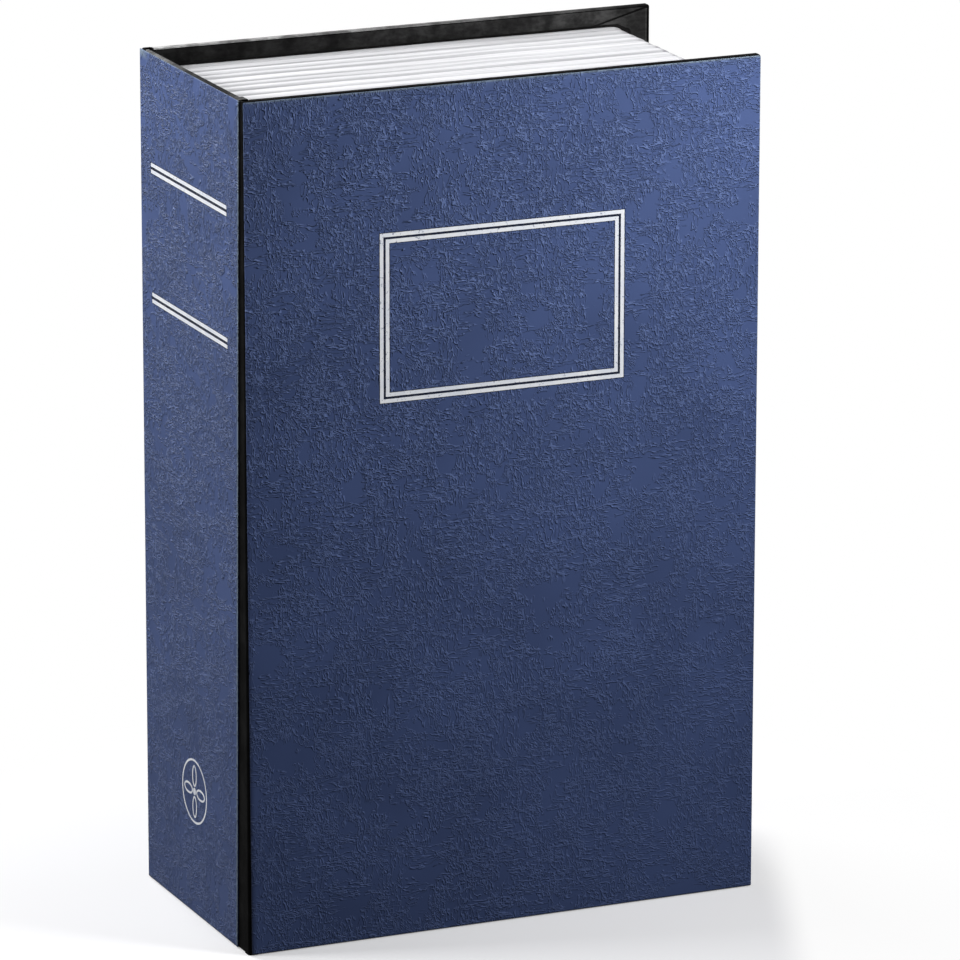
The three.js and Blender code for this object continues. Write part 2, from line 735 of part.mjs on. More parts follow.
// The cam hangs towards the tail at rest, and turns to the fore-edge to lock. Its tip is round
// about the lock's axis, so that it turns clear of the strike's wall.
function lockCam() {
  const half = SQUARE / 2 + SQUARE_CLEARANCE;
  const wide = CAM_WIDTH / 2;
  const lean = Math.asin(wide / CAM_LENGTH);
  const arm = new THREE.Shape();
  arm.moveTo(wide, 0);
  arm.lineTo(-wide, 0);
  arm.absarc(0, 0, CAM_LENGTH, -Math.PI / 2 - lean, -Math.PI / 2 + lean, false);
  arm.closePath();
  return cut(
    join(rod(CAM_HUB_RADIUS, PLUG_END, CAM_END), slab(arm, PLUG_END, CAM_END)),
    box(-half, half, PLUG_END - CUT, CAM_END + CUT, -half, half),
  );
}

function camScrew() {
  const seat = BOSS_END + GLUE + CAM_WASHER + GLUE;
  const bevel = CAM_SCREW_RISE / 3;
  const head = CAM_SCREW_HEAD;
  const top = seat + CAM_SCREW_RISE;
  const tip = BOSS_END - CAM_SCREW_DEPTH + RUNNING_GAP;
  return turned([
    [0, tip], [CAM_SCREW_RADIUS, tip], [CAM_SCREW_RADIUS, seat], [head, seat],
    [head, top - bevel], [head - bevel, top], [0, top],
  ], COARSE);
}

function addLock(parent) {
  const lock = new THREE.Group();
  lock.position.set(LOCK_X, LID_Y, LOCK_Z);
  parent.add(lock);
  const washer = LID_SHEET + GLUE;
  const hole = LOCK_RADIUS + HOLE_CLEARANCE;
  piece(lock, "lock_body", lockBody(), chrome);
  piece(lock, "lock_washer", ring(hole, LOCK_WASHER_RADIUS, washer, washer + LOCK_WASHER), steel);
  piece(lock, "lock_nut", lockNut(), steel);
  piece(lock, "lock_plug", lockPlug(), chrome);
  for (let index = 0; index < WAFERS; index += 1) {
    piece(lock, `lock_wafer_${index + 1}`, wafer(), brass).position.y = waferPlace(index);
  }
  piece(lock, "lock_cam", lockCam(), steel);
  const seat = BOSS_END + GLUE;
  const bore = CAM_SCREW_RADIUS + HOLE_CLEARANCE;
  piece(lock, "cam_washer", ring(bore, CAM_WASHER_RADIUS, seat, seat + CAM_WASHER, COARSE), steel);
  piece(lock, "cam_screw", camScrew(), steel);
}

// The whole book, with its origin under the middle of the closed covers

const group = new THREE.Group();
const book = new THREE.Group();
book.position.set(-WIDTH / 2, -THICKNESS / 2, 0);
group.add(book);

addCover(book, "front");
addCover(book, "back");
addSpine(book);
addHingeCloths(book);
piece(book, "page_block", pageBlock(), pagePlastic);
piece(book, "safe_box", safeBox(), boxPaint);
piece(book, "cam_strike", camStrike(), steel);
addBoxScrews(book);
addHinge(book);
piece(book, "lid_plate", lidPlate(), boxPaint).position.y = LID_Y;
addLock(book);

export default group;
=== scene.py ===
import contextlib
import json
import math

import bmesh
import bpy
from bpy.props import FloatProperty, FloatVectorProperty, PointerProperty
from mathutils import Matrix, Vector


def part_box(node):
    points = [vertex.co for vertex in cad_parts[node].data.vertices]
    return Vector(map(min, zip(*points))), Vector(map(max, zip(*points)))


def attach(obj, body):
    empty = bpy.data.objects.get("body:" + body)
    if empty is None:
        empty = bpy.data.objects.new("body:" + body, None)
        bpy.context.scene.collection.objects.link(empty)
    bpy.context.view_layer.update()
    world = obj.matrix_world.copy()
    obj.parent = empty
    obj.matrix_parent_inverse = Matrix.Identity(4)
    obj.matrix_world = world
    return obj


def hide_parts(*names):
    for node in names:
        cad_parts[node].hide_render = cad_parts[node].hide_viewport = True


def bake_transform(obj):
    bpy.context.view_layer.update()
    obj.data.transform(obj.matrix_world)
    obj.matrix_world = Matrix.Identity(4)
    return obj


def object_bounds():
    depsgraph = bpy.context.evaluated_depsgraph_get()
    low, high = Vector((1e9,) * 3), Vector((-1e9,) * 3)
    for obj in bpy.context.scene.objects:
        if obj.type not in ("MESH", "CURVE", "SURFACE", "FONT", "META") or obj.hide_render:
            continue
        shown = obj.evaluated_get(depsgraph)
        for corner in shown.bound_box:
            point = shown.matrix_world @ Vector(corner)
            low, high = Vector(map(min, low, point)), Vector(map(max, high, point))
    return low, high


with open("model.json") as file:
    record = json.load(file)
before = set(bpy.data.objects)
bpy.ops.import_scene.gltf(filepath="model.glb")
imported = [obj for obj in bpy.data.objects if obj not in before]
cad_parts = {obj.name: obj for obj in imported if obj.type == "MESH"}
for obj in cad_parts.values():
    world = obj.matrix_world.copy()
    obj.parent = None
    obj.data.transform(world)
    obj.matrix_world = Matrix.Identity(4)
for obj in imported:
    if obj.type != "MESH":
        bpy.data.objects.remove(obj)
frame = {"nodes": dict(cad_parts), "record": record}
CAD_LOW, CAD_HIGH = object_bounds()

bl_info = {
    "name": "Book Safe",
    "version": (1, 0, 0),
    "blender": (4, 5, 0),
    "location": "3D View > Sidebar > Book Safe",
    "description": "Covers, pages, steel box and lock of a safe made as a small hardback book",
    "category": "Add Mesh",
}

# Places are in millimetres from the book's corner, where front, spine and tail meet
MM = 0.001
FRONT, BACK, SPINE = Vector((0, -1, 0)), Vector((0, 1, 0)), Vector((-1, 0, 0))
OUTWARD = {"front": FRONT, "back": BACK, "spine": SPINE}


def place(x, y, z):
    return CAD_LOW + Vector((x, y, z)) * MM


def measure(point):
    return (Vector(point) - CAD_LOW) / MM


def node_box(node):
    low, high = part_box(node)
    return measure(low), measure(high)


BOOK = measure(CAD_HIGH)
MIDDLE_Z = BOOK.z / 2


def srgb(*levels):
    """A colour as a picture shows it, 0 to 255, as the linear values that Blender works in."""
    shares = [level / 255 for level in levels]
    return tuple(s / 12.92 if s <= 0.04045 else ((s + 0.055) / 1.055) ** 2.4 for s in shares)


# Settings that a user would change


def length(name, default, description):
    return FloatProperty(name=name, description=description, default=default * MM, min=0,
                         precision=5, unit="LENGTH", subtype="DISTANCE")


def colour(name, levels, description):
    return FloatVectorProperty(name=name, description=description, default=srgb(*levels), size=3,
                               min=0, max=1, subtype="COLOR")


def share(name, default, description, top=1.0):
    return FloatProperty(name=name, description=description, default=default, min=0, max=top)


class BookSizes(bpy.types.PropertyGroup):
    leather_rim: length("Leather rim", 0.04, "How far the leather stays inside its CAD sheet")
    leather_edge: length("Leather edge", 0.12, "Radius of the leather's outer edge")
    # Painted shade: the front and back leather are darker along the joint, most towards the tail,
    # over this width.
    joint_shade: length("Joint dip", 1.3, "Width of the front leather that darkens at the joint")
    pale_edge: length("Rubbed edge", 1.0, "Width of the spine leather that is rubbed pale")
    # The spine leather's edge at the joint is painted pale over this width.
    front_slant: length("Front slant", 0.65, "How much later the front leather starts at the tail")
    spine_slant: length("Spine slant", 4.0, "How much later the spine leather starts at the tail")
    board_edge: length("Board edge", 0.45, "Radius of the covered boards' edges")
    foil_line: length("Foil line", 0.8, "Width of a silver line")
    foil_gap: length("Foil gap", 0.5, "Bare leather between two silver lines")
    foil_depth: length("Foil depth", 0.05, "How deep the silver lines are pressed in")
    page_crown: length("Page crown", 0.38, "How far the middle of a ridge of pages stands out")
    metal_edge: length("Metal edge", 0.15, "Bevel of the sheet metal's edges")


class BookColours(bpy.types.PropertyGroup):
    leather: colour("Leather", (68, 83, 124), "Blue of the leatherette")
    # Pale of the leatherette's edges: painted highlight along the top rims, fore-edges and the
    # spine's back corner, and the spine's painted pale joint edge.
    leather_pale: colour("Leather, rubbed", (114, 128, 142), "Rubbed edges of the leatherette")
    cloth: colour("Cloth", (255, 255, 255), "Tint on the grey tones of the black cloth")
    lining: colour("Lining", (255, 254, 250), "Tint on the grey tones of the end papers")
    board: colour("Board", (141, 133, 120), "Grey of the boards")
    pages: colour("Pages", (242, 242, 245), "White of the moulded pages")
    # Grey of the fine lines between the leaves, and of the painted shade in the grooves.
    groove: colour("Groove", (140, 140, 145), "Grey in the grooves between the pages")
    foil: colour("Foil", (226, 228, 232), "Silver of the pressed lines")
    paint: colour("Paint", (40, 42, 47), "Paint of the steel box and lid")
    steel: colour("Steel", (176, 178, 182), "Plated steel")
    chrome: colour("Chrome", (214, 216, 220), "Chrome of the lock")
    brass: colour("Brass", (186, 158, 92), "Brass of the wafers")


class BookStudio(bpy.types.PropertyGroup):
    camera: FloatVectorProperty(name="Camera", description="Where the camera stands", size=3,
                                default=(-0.5921, -1.3685, 0.5013), subtype="TRANSLATION")
    yaw: FloatProperty(name="Yaw", description="Turn of the camera from straight at the front",
                       default=math.radians(23.64), subtype="ANGLE")
    pitch: FloatProperty(name="Pitch", description="How far the camera looks down",
                         default=math.radians(15.48), subtype="ANGLE")
    roll: FloatProperty(name="Roll", description="Roll of the camera",
                        default=math.radians(-0.09), subtype="ANGLE")
    lens: FloatProperty(name="Lens", description="Focal length in mm on a 36 mm sensor",
                        default=277.4, min=1)
    room: share("Room light", 0.04, "Brightness of the room around the object", 4)
    key: share("Key light", 0.41, "Power in W of the soft light above the front", 20)
    side: share("Side light", 0.60, "Power in W of the soft light beside the spine", 20)
    back: share("Back light", 4.0, "Power in W of the soft light behind the back cover", 20)
    fill: share("Fill light", 1.6, "Power in W of the soft light beside the fore-edge", 20)
    floor: colour("Floor", (240, 240, 242), "Pale floor, as it is seen")
    bounce: colour("Floor bounce", (74, 74, 76), "Floor, as it lights the object")


# Modelling by hand, in steps


def only(piece):
    bpy.ops.object.select_all(action="DESELECT")
    piece.select_set(True)
    bpy.context.view_layer.objects.active = piece


def settle(name):
    """Names the new piece and puts its place into its mesh."""
    piece = bpy.context.object
    piece.name = piece.data.name = name
    only(piece)
    bpy.ops.object.transform_apply(location=True, rotation=True, scale=True)
    return piece


def block(name, low, high):
    bpy.ops.object.select_all(action="DESELECT")
    low, high = place(*low), place(*high)
    bpy.ops.mesh.primitive_cube_add(size=1, location=(low + high) / 2, scale=high - low)
    return settle(name)


@contextlib.contextmanager
def shaping(piece):
    only(piece)
    bpy.ops.object.mode_set(mode="EDIT")
    yield
    bpy.ops.object.mode_set(mode="OBJECT")


def pick(kind, test):
    """Selects the faces, edges or corners for which test(place, way) holds, in millimetres."""
    bpy.ops.mesh.select_mode(type=kind)
    bpy.ops.mesh.select_all(action="DESELECT")
    data = bpy.context.object.data
    mesh = bmesh.from_edit_mesh(data)
    mesh.normal_update()
    parts = {"FACE": mesh.faces, "EDGE": mesh.edges, "VERT": mesh.verts}[kind]
    count = 0
    for part in parts:
        if kind == "FACE":
            at, way = part.calc_center_median(), part.normal
        elif kind == "EDGE":
            a, b = (v.co for v in part.verts)
            at, way = (a + b) / 2, (b - a).normalized()
            way = Vector(map(abs, way))
        else:
            at, way = part.co, part.normal
        if test(measure(at), way):
            part.select_set(True)
            count += 1
    bmesh.update_edit_mesh(data)
    if not count:
        raise ValueError(f"{bpy.context.object.name}: nothing to select")


def bevel(radius, segments=4):
    bpy.ops.mesh.bevel(offset=radius * MM, segments=segments, profile=0.5, affect="EDGES",
                       clamp_overlap=False)


def move(x, y, z):
    bpy.ops.transform.translate(value=(x * MM, y * MM, z * MM))


def extrude(x, y, z):
    bpy.ops.mesh.extrude_region_move(
        TRANSFORM_OT_translate={"value": (x * MM, y * MM, z * MM)})


def resize(x, y, z, about):
    bpy.ops.transform.resize(value=(x, y, z), center_override=place(*about))


def anywhere(at, way):
    return True


def facing(out):
    return lambda at, way: way.dot(out) > 0.99


def slice_at(axis, places, test=anywhere):
    """Cuts the faces that test picks with planes across an axis, 0 for X to 2 for Z."""
    for at in places:
        point, normal = [0, 0, 0], [0, 0, 0]
        point[axis], normal[axis] = at, 1
        pick("FACE", test)
        bpy.ops.mesh.bisect(plane_co=place(*point), plane_no=normal)


def add_modifier(piece, kind, **settings):
    only(piece)
    bpy.ops.object.modifier_add(type=kind)
    modifier = piece.modifiers[-1]
    for key, value in settings.items():
        setattr(modifier, key, value)
    bpy.ops.object.modifier_apply(modifier=modifier.name)


def cut_away(piece, cutter):
    add_modifier(piece, "BOOLEAN", operation="DIFFERENCE", solver="EXACT", object=cutter)
    only(cutter)
    bpy.ops.object.delete()


def smooth(piece, angle=40):
    only(piece)
    bpy.ops.object.shade_smooth_by_angle(angle=math.radians(angle))
    add_modifier(piece, "WEIGHTED_NORMAL", keep_sharp=True, weight=60)


def level(grey):
    """A grey that a picture shows, 0 to 255, as a linear share."""
    return srgb(grey)[0]


def between(value, low, high, start, end):
    """Goes softly from start to end as the value goes from low to high."""
    share = min(1, max(0, (value - low) / (high - low)))
    return start + (end - start) * share * share * (3 - 2 * share)


def paint_tone(piece, rule):
    """Stores rule(place, way, middle) at each corner of each face: its place in mm, and the
    way and middle of its face."""
    data = piece.data
    layer = data.attributes.new("tone", "FLOAT", "CORNER")
    places = [measure(v.co) for v in data.vertices]
    for face in data.polygons:
        middle = measure(face.center)
        for corner in face.loop_indices:
            at = places[data.loops[corner].vertex_index]
            layer.data[corner].value = rule(at, face.normal, middle)


def copy_of(node, name):
    """A merged copy of a CAD node's mesh, to be shaped further."""
    piece = frame["nodes"][node].copy()
    piece.data = piece.data.copy()
    piece.name = piece.data.name = name
    piece.parent = None
    for key in list(piece.keys()):
        del piece[key]
    bpy.context.scene.collection.objects.link(piece)
    piece.data.materials.clear()
    with shaping(piece):
        bpy.ops.mesh.select_all(action="SELECT")
        bpy.ops.mesh.remove_doubles(threshold=0.0005 * MM)
        bpy.ops.mesh.dissolve_limited(angle_limit=math.radians(0.5))
    return piece


def fit(piece, material, body, replaces=()):
    piece.data.materials.clear()
    piece.data.materials.append(material)
    if body:
        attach(piece, body)
    if replaces:
        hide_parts(*replaces)
    return piece


# Materials


class Field:
    """A value that varies over a surface: an output socket with Python's arithmetic."""

    def __init__(self, paint, socket):
        self.paint, self.socket = paint, socket

    def _with(self, operation, *values):
        return self.paint.maths(operation, *values)

    def __add__(self, other):
        return self._with("ADD", self, other)

    def __sub__(self, other):
        return self._with("SUBTRACT", self, other)

    def __rsub__(self, other):
        return self._with("SUBTRACT", other, self)

    def __mul__(self, other):
        return self._with("MULTIPLY", self, other)

    __radd__ = __add__
    __rmul__ = __mul__


class Paint:
    """One material, or the world, built node by node."""

    def __init__(self, name, world=None):
        self.material = world or bpy.data.materials.new(name)
        self.material.use_nodes = True
        self.tree = self.material.node_tree
        self.tree.nodes.clear()
        self.coords = self.node("ShaderNodeTexCoord", out="Object")
        self.normal = Field(self, self.coords.socket.node.outputs["Normal"])

    def output(self, shader):
        kind = "World" if isinstance(self.material, bpy.types.World) else "Material"
        end = self.tree.nodes.new(f"ShaderNodeOutput{kind}")
        self.tree.links.new(shader.socket, end.inputs["Surface"])

    def node(self, kind, settings=None, sockets=None, out=0):
        made = self.tree.nodes.new(kind)
        for key, value in (settings or {}).items():
            setattr(made, key, value)
        for key, value in (sockets or {}).items():
            socket = made.inputs[key]
            if isinstance(value, Field):
                self.tree.links.new(value.socket, socket)
            else:
                bare = socket.type == "RGBA" and len(value) == 3
                socket.default_value = (*value, 1) if bare else value
        return Field(self, made.outputs[out])

    def maths(self, operation, *values):
        sockets = dict(enumerate(values))
        return self.node("ShaderNodeMath", {"operation": operation}, sockets)

    def vector(self, operation, *values, out=0, **sockets):
        sockets.update(enumerate(values))
        return self.node("ShaderNodeVectorMath", {"operation": operation}, sockets, out)

    def measured(self, size, turn=(0, 0, 0), shift=(0, 0, 0), coords=None):
        """Coordinates counted in sizes in mm, along axes that are turned."""
        return self.node("ShaderNodeMapping", {"vector_type": "TEXTURE"}, {
            "Vector": coords or self.coords, "Scale": [s * MM for s in size],
            "Rotation": turn, "Location": [s * MM for s in shift]})

    def noise(self, size, detail=2.0, roughness=0.5, out="Fac", **placed):
        """Noise with spots of a size in mm, which may differ from axis to axis."""
        sizes = size if isinstance(size, tuple) else (size,) * 3
        return self.node("ShaderNodeTexNoise", {}, {
            "Vector": self.measured(sizes, **placed), "Scale": 1.0, "Detail": detail,
            "Roughness": roughness}, out)

    def attribute(self, name):
        return self.node("ShaderNodeAttribute", {"attribute_name": name}, {}, "Fac")

    def step(self, value, low, high, start=0.0, end=1.0):
        """A soft step from start to end as the value goes from low to high."""
        return self.node("ShaderNodeMapRange", {"interpolation_type": "SMOOTHSTEP"}, {
            "Value": value, "From Min": low, "From Max": high, "To Min": start, "To Max": end})

    def mix(self, share, a, b):
        return self.node("ShaderNodeMix", {"data_type": "RGBA"}, {0: share, 6: a, 7: b}, 2)

    def bump(self, height, depth, strength=1.0, normal=None):
        sockets = {"Height": height, "Distance": depth * MM, "Strength": strength}
        if normal:
            sockets["Normal"] = normal
        return self.node("ShaderNodeBump", {}, sockets)

    def finish(self, preview, **sockets):
        """Ends the material in a Principled shader. Underscores in names stand for spaces."""
        named = {key.replace("_", " "): value for key, value in sockets.items()}
        self.output(self.node("ShaderNodeBsdfPrincipled", {}, named))
        self.material.diffuse_color = (*preview, 1)
        return self.material


def leather_relief(paint):
    """The embossed grain: patches of upright, level and slanted wavy lines on a plain ground."""
    across = paint.vector("DOT_PRODUCT", paint.coords, (1, -1, 0), out="Value")
    up = paint.vector("DOT_PRODUCT", paint.coords, (0, 0, 1), out="Value")
    flat = paint.node("ShaderNodeCombineXYZ", {}, {"X": across, "Y": up})
    wander = paint.noise(4.0, 2, out="Color", coords=flat)
    bent = paint.vector("MULTIPLY_ADD", wander, (1.1 * MM,) * 3, flat)
    gaps = paint.step(paint.noise(0.85, 1, shift=(20, 0, 0), coords=flat), 0.32, 0.44)
    facing_spine = paint.vector("DOT_PRODUCT", paint.normal, tuple(SPINE), out="Value")
    # Grain made stronger towards the top and on the spine and weaker towards the fore-edge, to
    # follow how the light rakes it: this scales the bump and the painted crest highlight.
    lit_grain_strength = paint.step(up, 0.03, 0.17, 0.6, 1.25) * paint.step(across, 0.01, 0.08, 1.0, 0.78) \
        * paint.step(facing_spine, 0.7, 0.9, 1.0, 1.7)

    def lines(pitch, run, turn, shift, width):
        waves = paint.noise((pitch, run, 1), 1, turn=(0, 0, turn), shift=(shift, 0, 0), coords=bent)
        return paint.step(paint.maths("ABSOLUTE", waves - 0.5), width, 0.0) * gaps

    def patches(size, shift, low, high):
        return paint.step(paint.noise(size, 1, shift=(shift, 0, 0), coords=bent), low, high)

    upright = lines(0.74, 2.4, 0.06, 0, 0.080) * patches((5.0, 8.0, 1), 40, 0.44, 0.49)
    level = lines(0.72, 3.2, 1.57, 90, 0.076) * patches((11.0, 4.0, 1), 80, 0.46, 0.50)
    slanted = lines(0.62, 1.15, 0.55, 50, 0.086) * patches((4.5, 4.5, 1), 120, 0.52, 0.48) \
        * patches((5.5, 5.5, 1), 160, 0.43, 0.48)
    return paint.maths("MAXIMUM", paint.maths("MAXIMUM", upright, level), slanted) * lit_grain_strength


def leather_material(colours):
    paint = Paint("blue_leatherette")
    relief = leather_relief(paint)
    pores = paint.noise(0.2, 2)
    cloud = paint.noise(26, 3)
    tone = paint.attribute("tone")
    leather = tuple(colours.leather)
    dark, light = (tuple(c * share for c in leather) for share in (0.90, 1.10))
    base = paint.mix(paint.step(cloud, 0.3, 0.7), dark, light)
    # Crests of the grain painted lighter: painted highlight.
    crest_highlight = tuple(c * lift for c, lift in zip(leather, (1.95, 1.85, 1.65)))
    base = paint.mix(relief * 0.84, base, crest_highlight)
    # Tone under 1 paints shade along the joint, the tail and the spine's back edge, and darkens the
    # beds of the silver lines.
    base = paint.mix(paint.step(tone, 1.0, 0.0), base, srgb(17, 18, 24))
    # Tone over 1 goes towards the pale colour: painted highlight on rims and corner, and the
    # spine's painted pale joint edge.
    base = paint.mix(paint.step(tone, 1.0, 2.0), base, tuple(colours.leather_pale))
    fine = paint.bump(pores, 0.01, 0.5)
    return paint.finish(leather, Base_Color=base, Roughness=0.6 - relief * 0.08,
                        Specular_IOR_Level=0.06, Normal=paint.bump(relief, 0.28, 1.0, fine))


def cloth_material(name, tint, specular, rough):
    """Black book cloth or paper, which takes its grey from the piece's painted tone."""
    paint = Paint(name)
    threads = paint.noise((0.4, 0.4, 2.0), 1)
    across = paint.noise((2.1, 2.1, 0.4), 1)
    weave = paint.maths("MAXIMUM", threads, across)
    blotch = paint.noise(6.5, 4, 0.62)
    rubbed = paint.step(paint.noise((2.2, 1.0, 1.0), 4, 0.7), 0.35, 0.65, 0.75, 1.25)
    uneven = paint.step(blotch, 0.40, 0.64, 0.6, 1.55) * rubbed * paint.attribute("tone")
    base = paint.vector("SCALE", tint, Scale=uneven)
    return paint.finish(srgb(24, 24, 26), Base_Color=base,
                        Roughness=paint.step(blotch, 0.3, 0.7, rough, rough - 0.12),
                        Specular_IOR_Level=specular, Normal=paint.bump(weave, 0.03, 0.35))


def board_material(colours):
    paint = Paint("greyboard")
    flecks = paint.noise((1.4, 0.42, 1.4), 5, 0.7)
    dark = tuple(c * 0.62 for c in colours.board)
    base = paint.mix(paint.step(flecks, 0.42, 0.62), dark, tuple(colours.board))
    return paint.finish(colours.board, Base_Color=base, Roughness=0.9,
                        Normal=paint.bump(flecks, 0.06, 0.6))


def page_material(colours):
    """White plastic with fine lines between the leaves, and painted shade in the grooves."""
    paint = Paint("page_plastic")
    leaves = paint.noise((38, 0.4, 38), 3, 0.6)
    waves = paint.noise((70, 2.4, 70), 2)
    pages, grey = tuple(colours.pages), tuple(colours.groove)
    base = paint.mix(paint.step(leaves, 0.62, 0.35, 0.0, 0.35), pages, grey)
    # The tone attribute paints shade in the grooves and on the fore-edge rim near the head.
    base = paint.mix(paint.attribute("tone") * paint.step(waves, 0.3, 0.7, 0.6, 1.0), base, grey)
    return paint.finish(pages, Base_Color=base, Roughness=paint.step(leaves, 0.3, 0.7, 0.42, 0.58),
                        Specular_IOR_Level=0.3, Normal=paint.bump(leaves * 0.35 + waves, 0.07, 0.5))


def foil_material(colours):
    """Silver pressed through a ribbon: bright, thin in places, with a few bare flecks."""
    paint = Paint("silver_foil")
    missing = paint.noise(0.7, 4, 0.75)
    thin = paint.noise(3.8, 3)
    bare = paint.step(missing, 0.60, 0.68) * 0.8
    tone = paint.mix(paint.step(thin, 0.3, 0.7) * 0.35, tuple(colours.foil), srgb(168, 178, 200))
    base = paint.mix(bare, tone, tuple(colours.leather))
    return paint.finish(colours.foil, Base_Color=base, Metallic=0.35 - bare * 0.35,
                        Roughness=paint.step(thin, 0.3, 0.7, 0.35, 0.5),
                        Normal=paint.bump(missing, 0.02, 0.5))


def painted_material(colours):
    """Powder coat with an orange-peel surface, rubbed a little."""
    paint = Paint("box_powder_coat")
    peel = paint.noise(0.7, 2)
    cloud = paint.noise(17, 4)
    light = tuple(c * 1.5 for c in colours.paint)
    base = paint.mix(paint.step(cloud, 0.4, 0.7) * 0.4, tuple(colours.paint), light)
    return paint.finish(colours.paint, Base_Color=base,
                        Roughness=paint.step(cloud, 0.3, 0.7, 0.42, 0.52),
                        Specular_IOR_Level=0.5, Normal=paint.bump(peel, 0.03, 0.6))


def metal_material(name, tone, rough, grain, depth):
    """Metal with fine lines along one way and a few darker clouds."""
    paint = Paint(name)
    tone = tuple(tone)
    lines = paint.noise(grain, 3, 0.6)
    cloud = paint.noise(7, 3)
    dull = tuple(c * 0.75 for c in tone)
    base = paint.mix(paint.step(cloud, 0.35, 0.7) * 0.6, tone, dull)
    return paint.finish(tone, Base_Color=base, Metallic=1.0,
                        Roughness=paint.step(lines, 0.3, 0.7, rough, rough + 0.14),
                        Normal=paint.bump(lines, depth, 0.5))


MATERIALS = {}


def make_materials(colours):
    MATERIALS.update(
        leather=leather_material(colours),
        cloth=cloth_material("cover_cloth", tuple(colours.cloth), 0.03, 0.9),
        lining=cloth_material("lining_paper", tuple(colours.lining), 0.1, 0.85),
        board=board_material(colours),
        pages=page_material(colours),
        foil=foil_material(colours),
        paint=painted_material(colours),
        steel=metal_material("plated_steel", colours.steel, 0.3, (3.3, 3.3, 0.25), 0.01),
        chrome=metal_material("lock_chrome", colours.chrome, 0.12, (0.4, 3.3, 0.4), 0.004),
        brass=metal_material("wafer_brass", colours.brass, 0.28, (0.33, 2.0, 0.33), 0.01),
    )


# Covers

# Corner of the covers, and how far in from the leather's edges and corners its painted highlights
# and painted shade reach
COVER_CORNER = 0.25
EDGE_SHADING = 0.4
RIM_FADE = 2.0
CORNER_HIGHLIGHT = 6.0

# Double frame on the front and double rules on the spine, as the photo has them
FRAME_X = (29.75, 84.2)
FRAME_Z = (114.7, 150.2)
RULES_Y = (9.0, 51.0)
RULES_Z = (156.5, 155.1, 128.9, 127.5)
BED_RIM = 0.16
BED_TONE = 0.25

# Flower at the foot of the spine: its middle, its ring, its silver's width, and how far out a
# petal's middle lies, with half its length and width. The leather lies deeper by the last value.
FLOWER_Y, FLOWER_Z = 29.5, 27.0
FLOWER_RING = 7.0
FLOWER_LINE = 0.45
FLOWER_PETAL = (3.4, 2.4, 1.25)
FLOWER_STAND = 0.02


def press_in(side, piece, sizes):
    """Presses the bed of the silver lines into a panel's outer face."""
    out = OUTWARD[side]
    cuts_across, cuts_up, test = (spine_beds if side == "spine" else front_beds)(sizes)
    axis = 1 if side == "spine" else 0
    with shaping(piece):
        slice_at(axis, cuts_across, facing(out))
        slice_at(2, cuts_up, facing(out))
        pick("FACE", lambda at, way: way.dot(out) > 0.99 and test(at[axis], at.z))
        extrude(*(-out * sizes.foil_depth / MM))


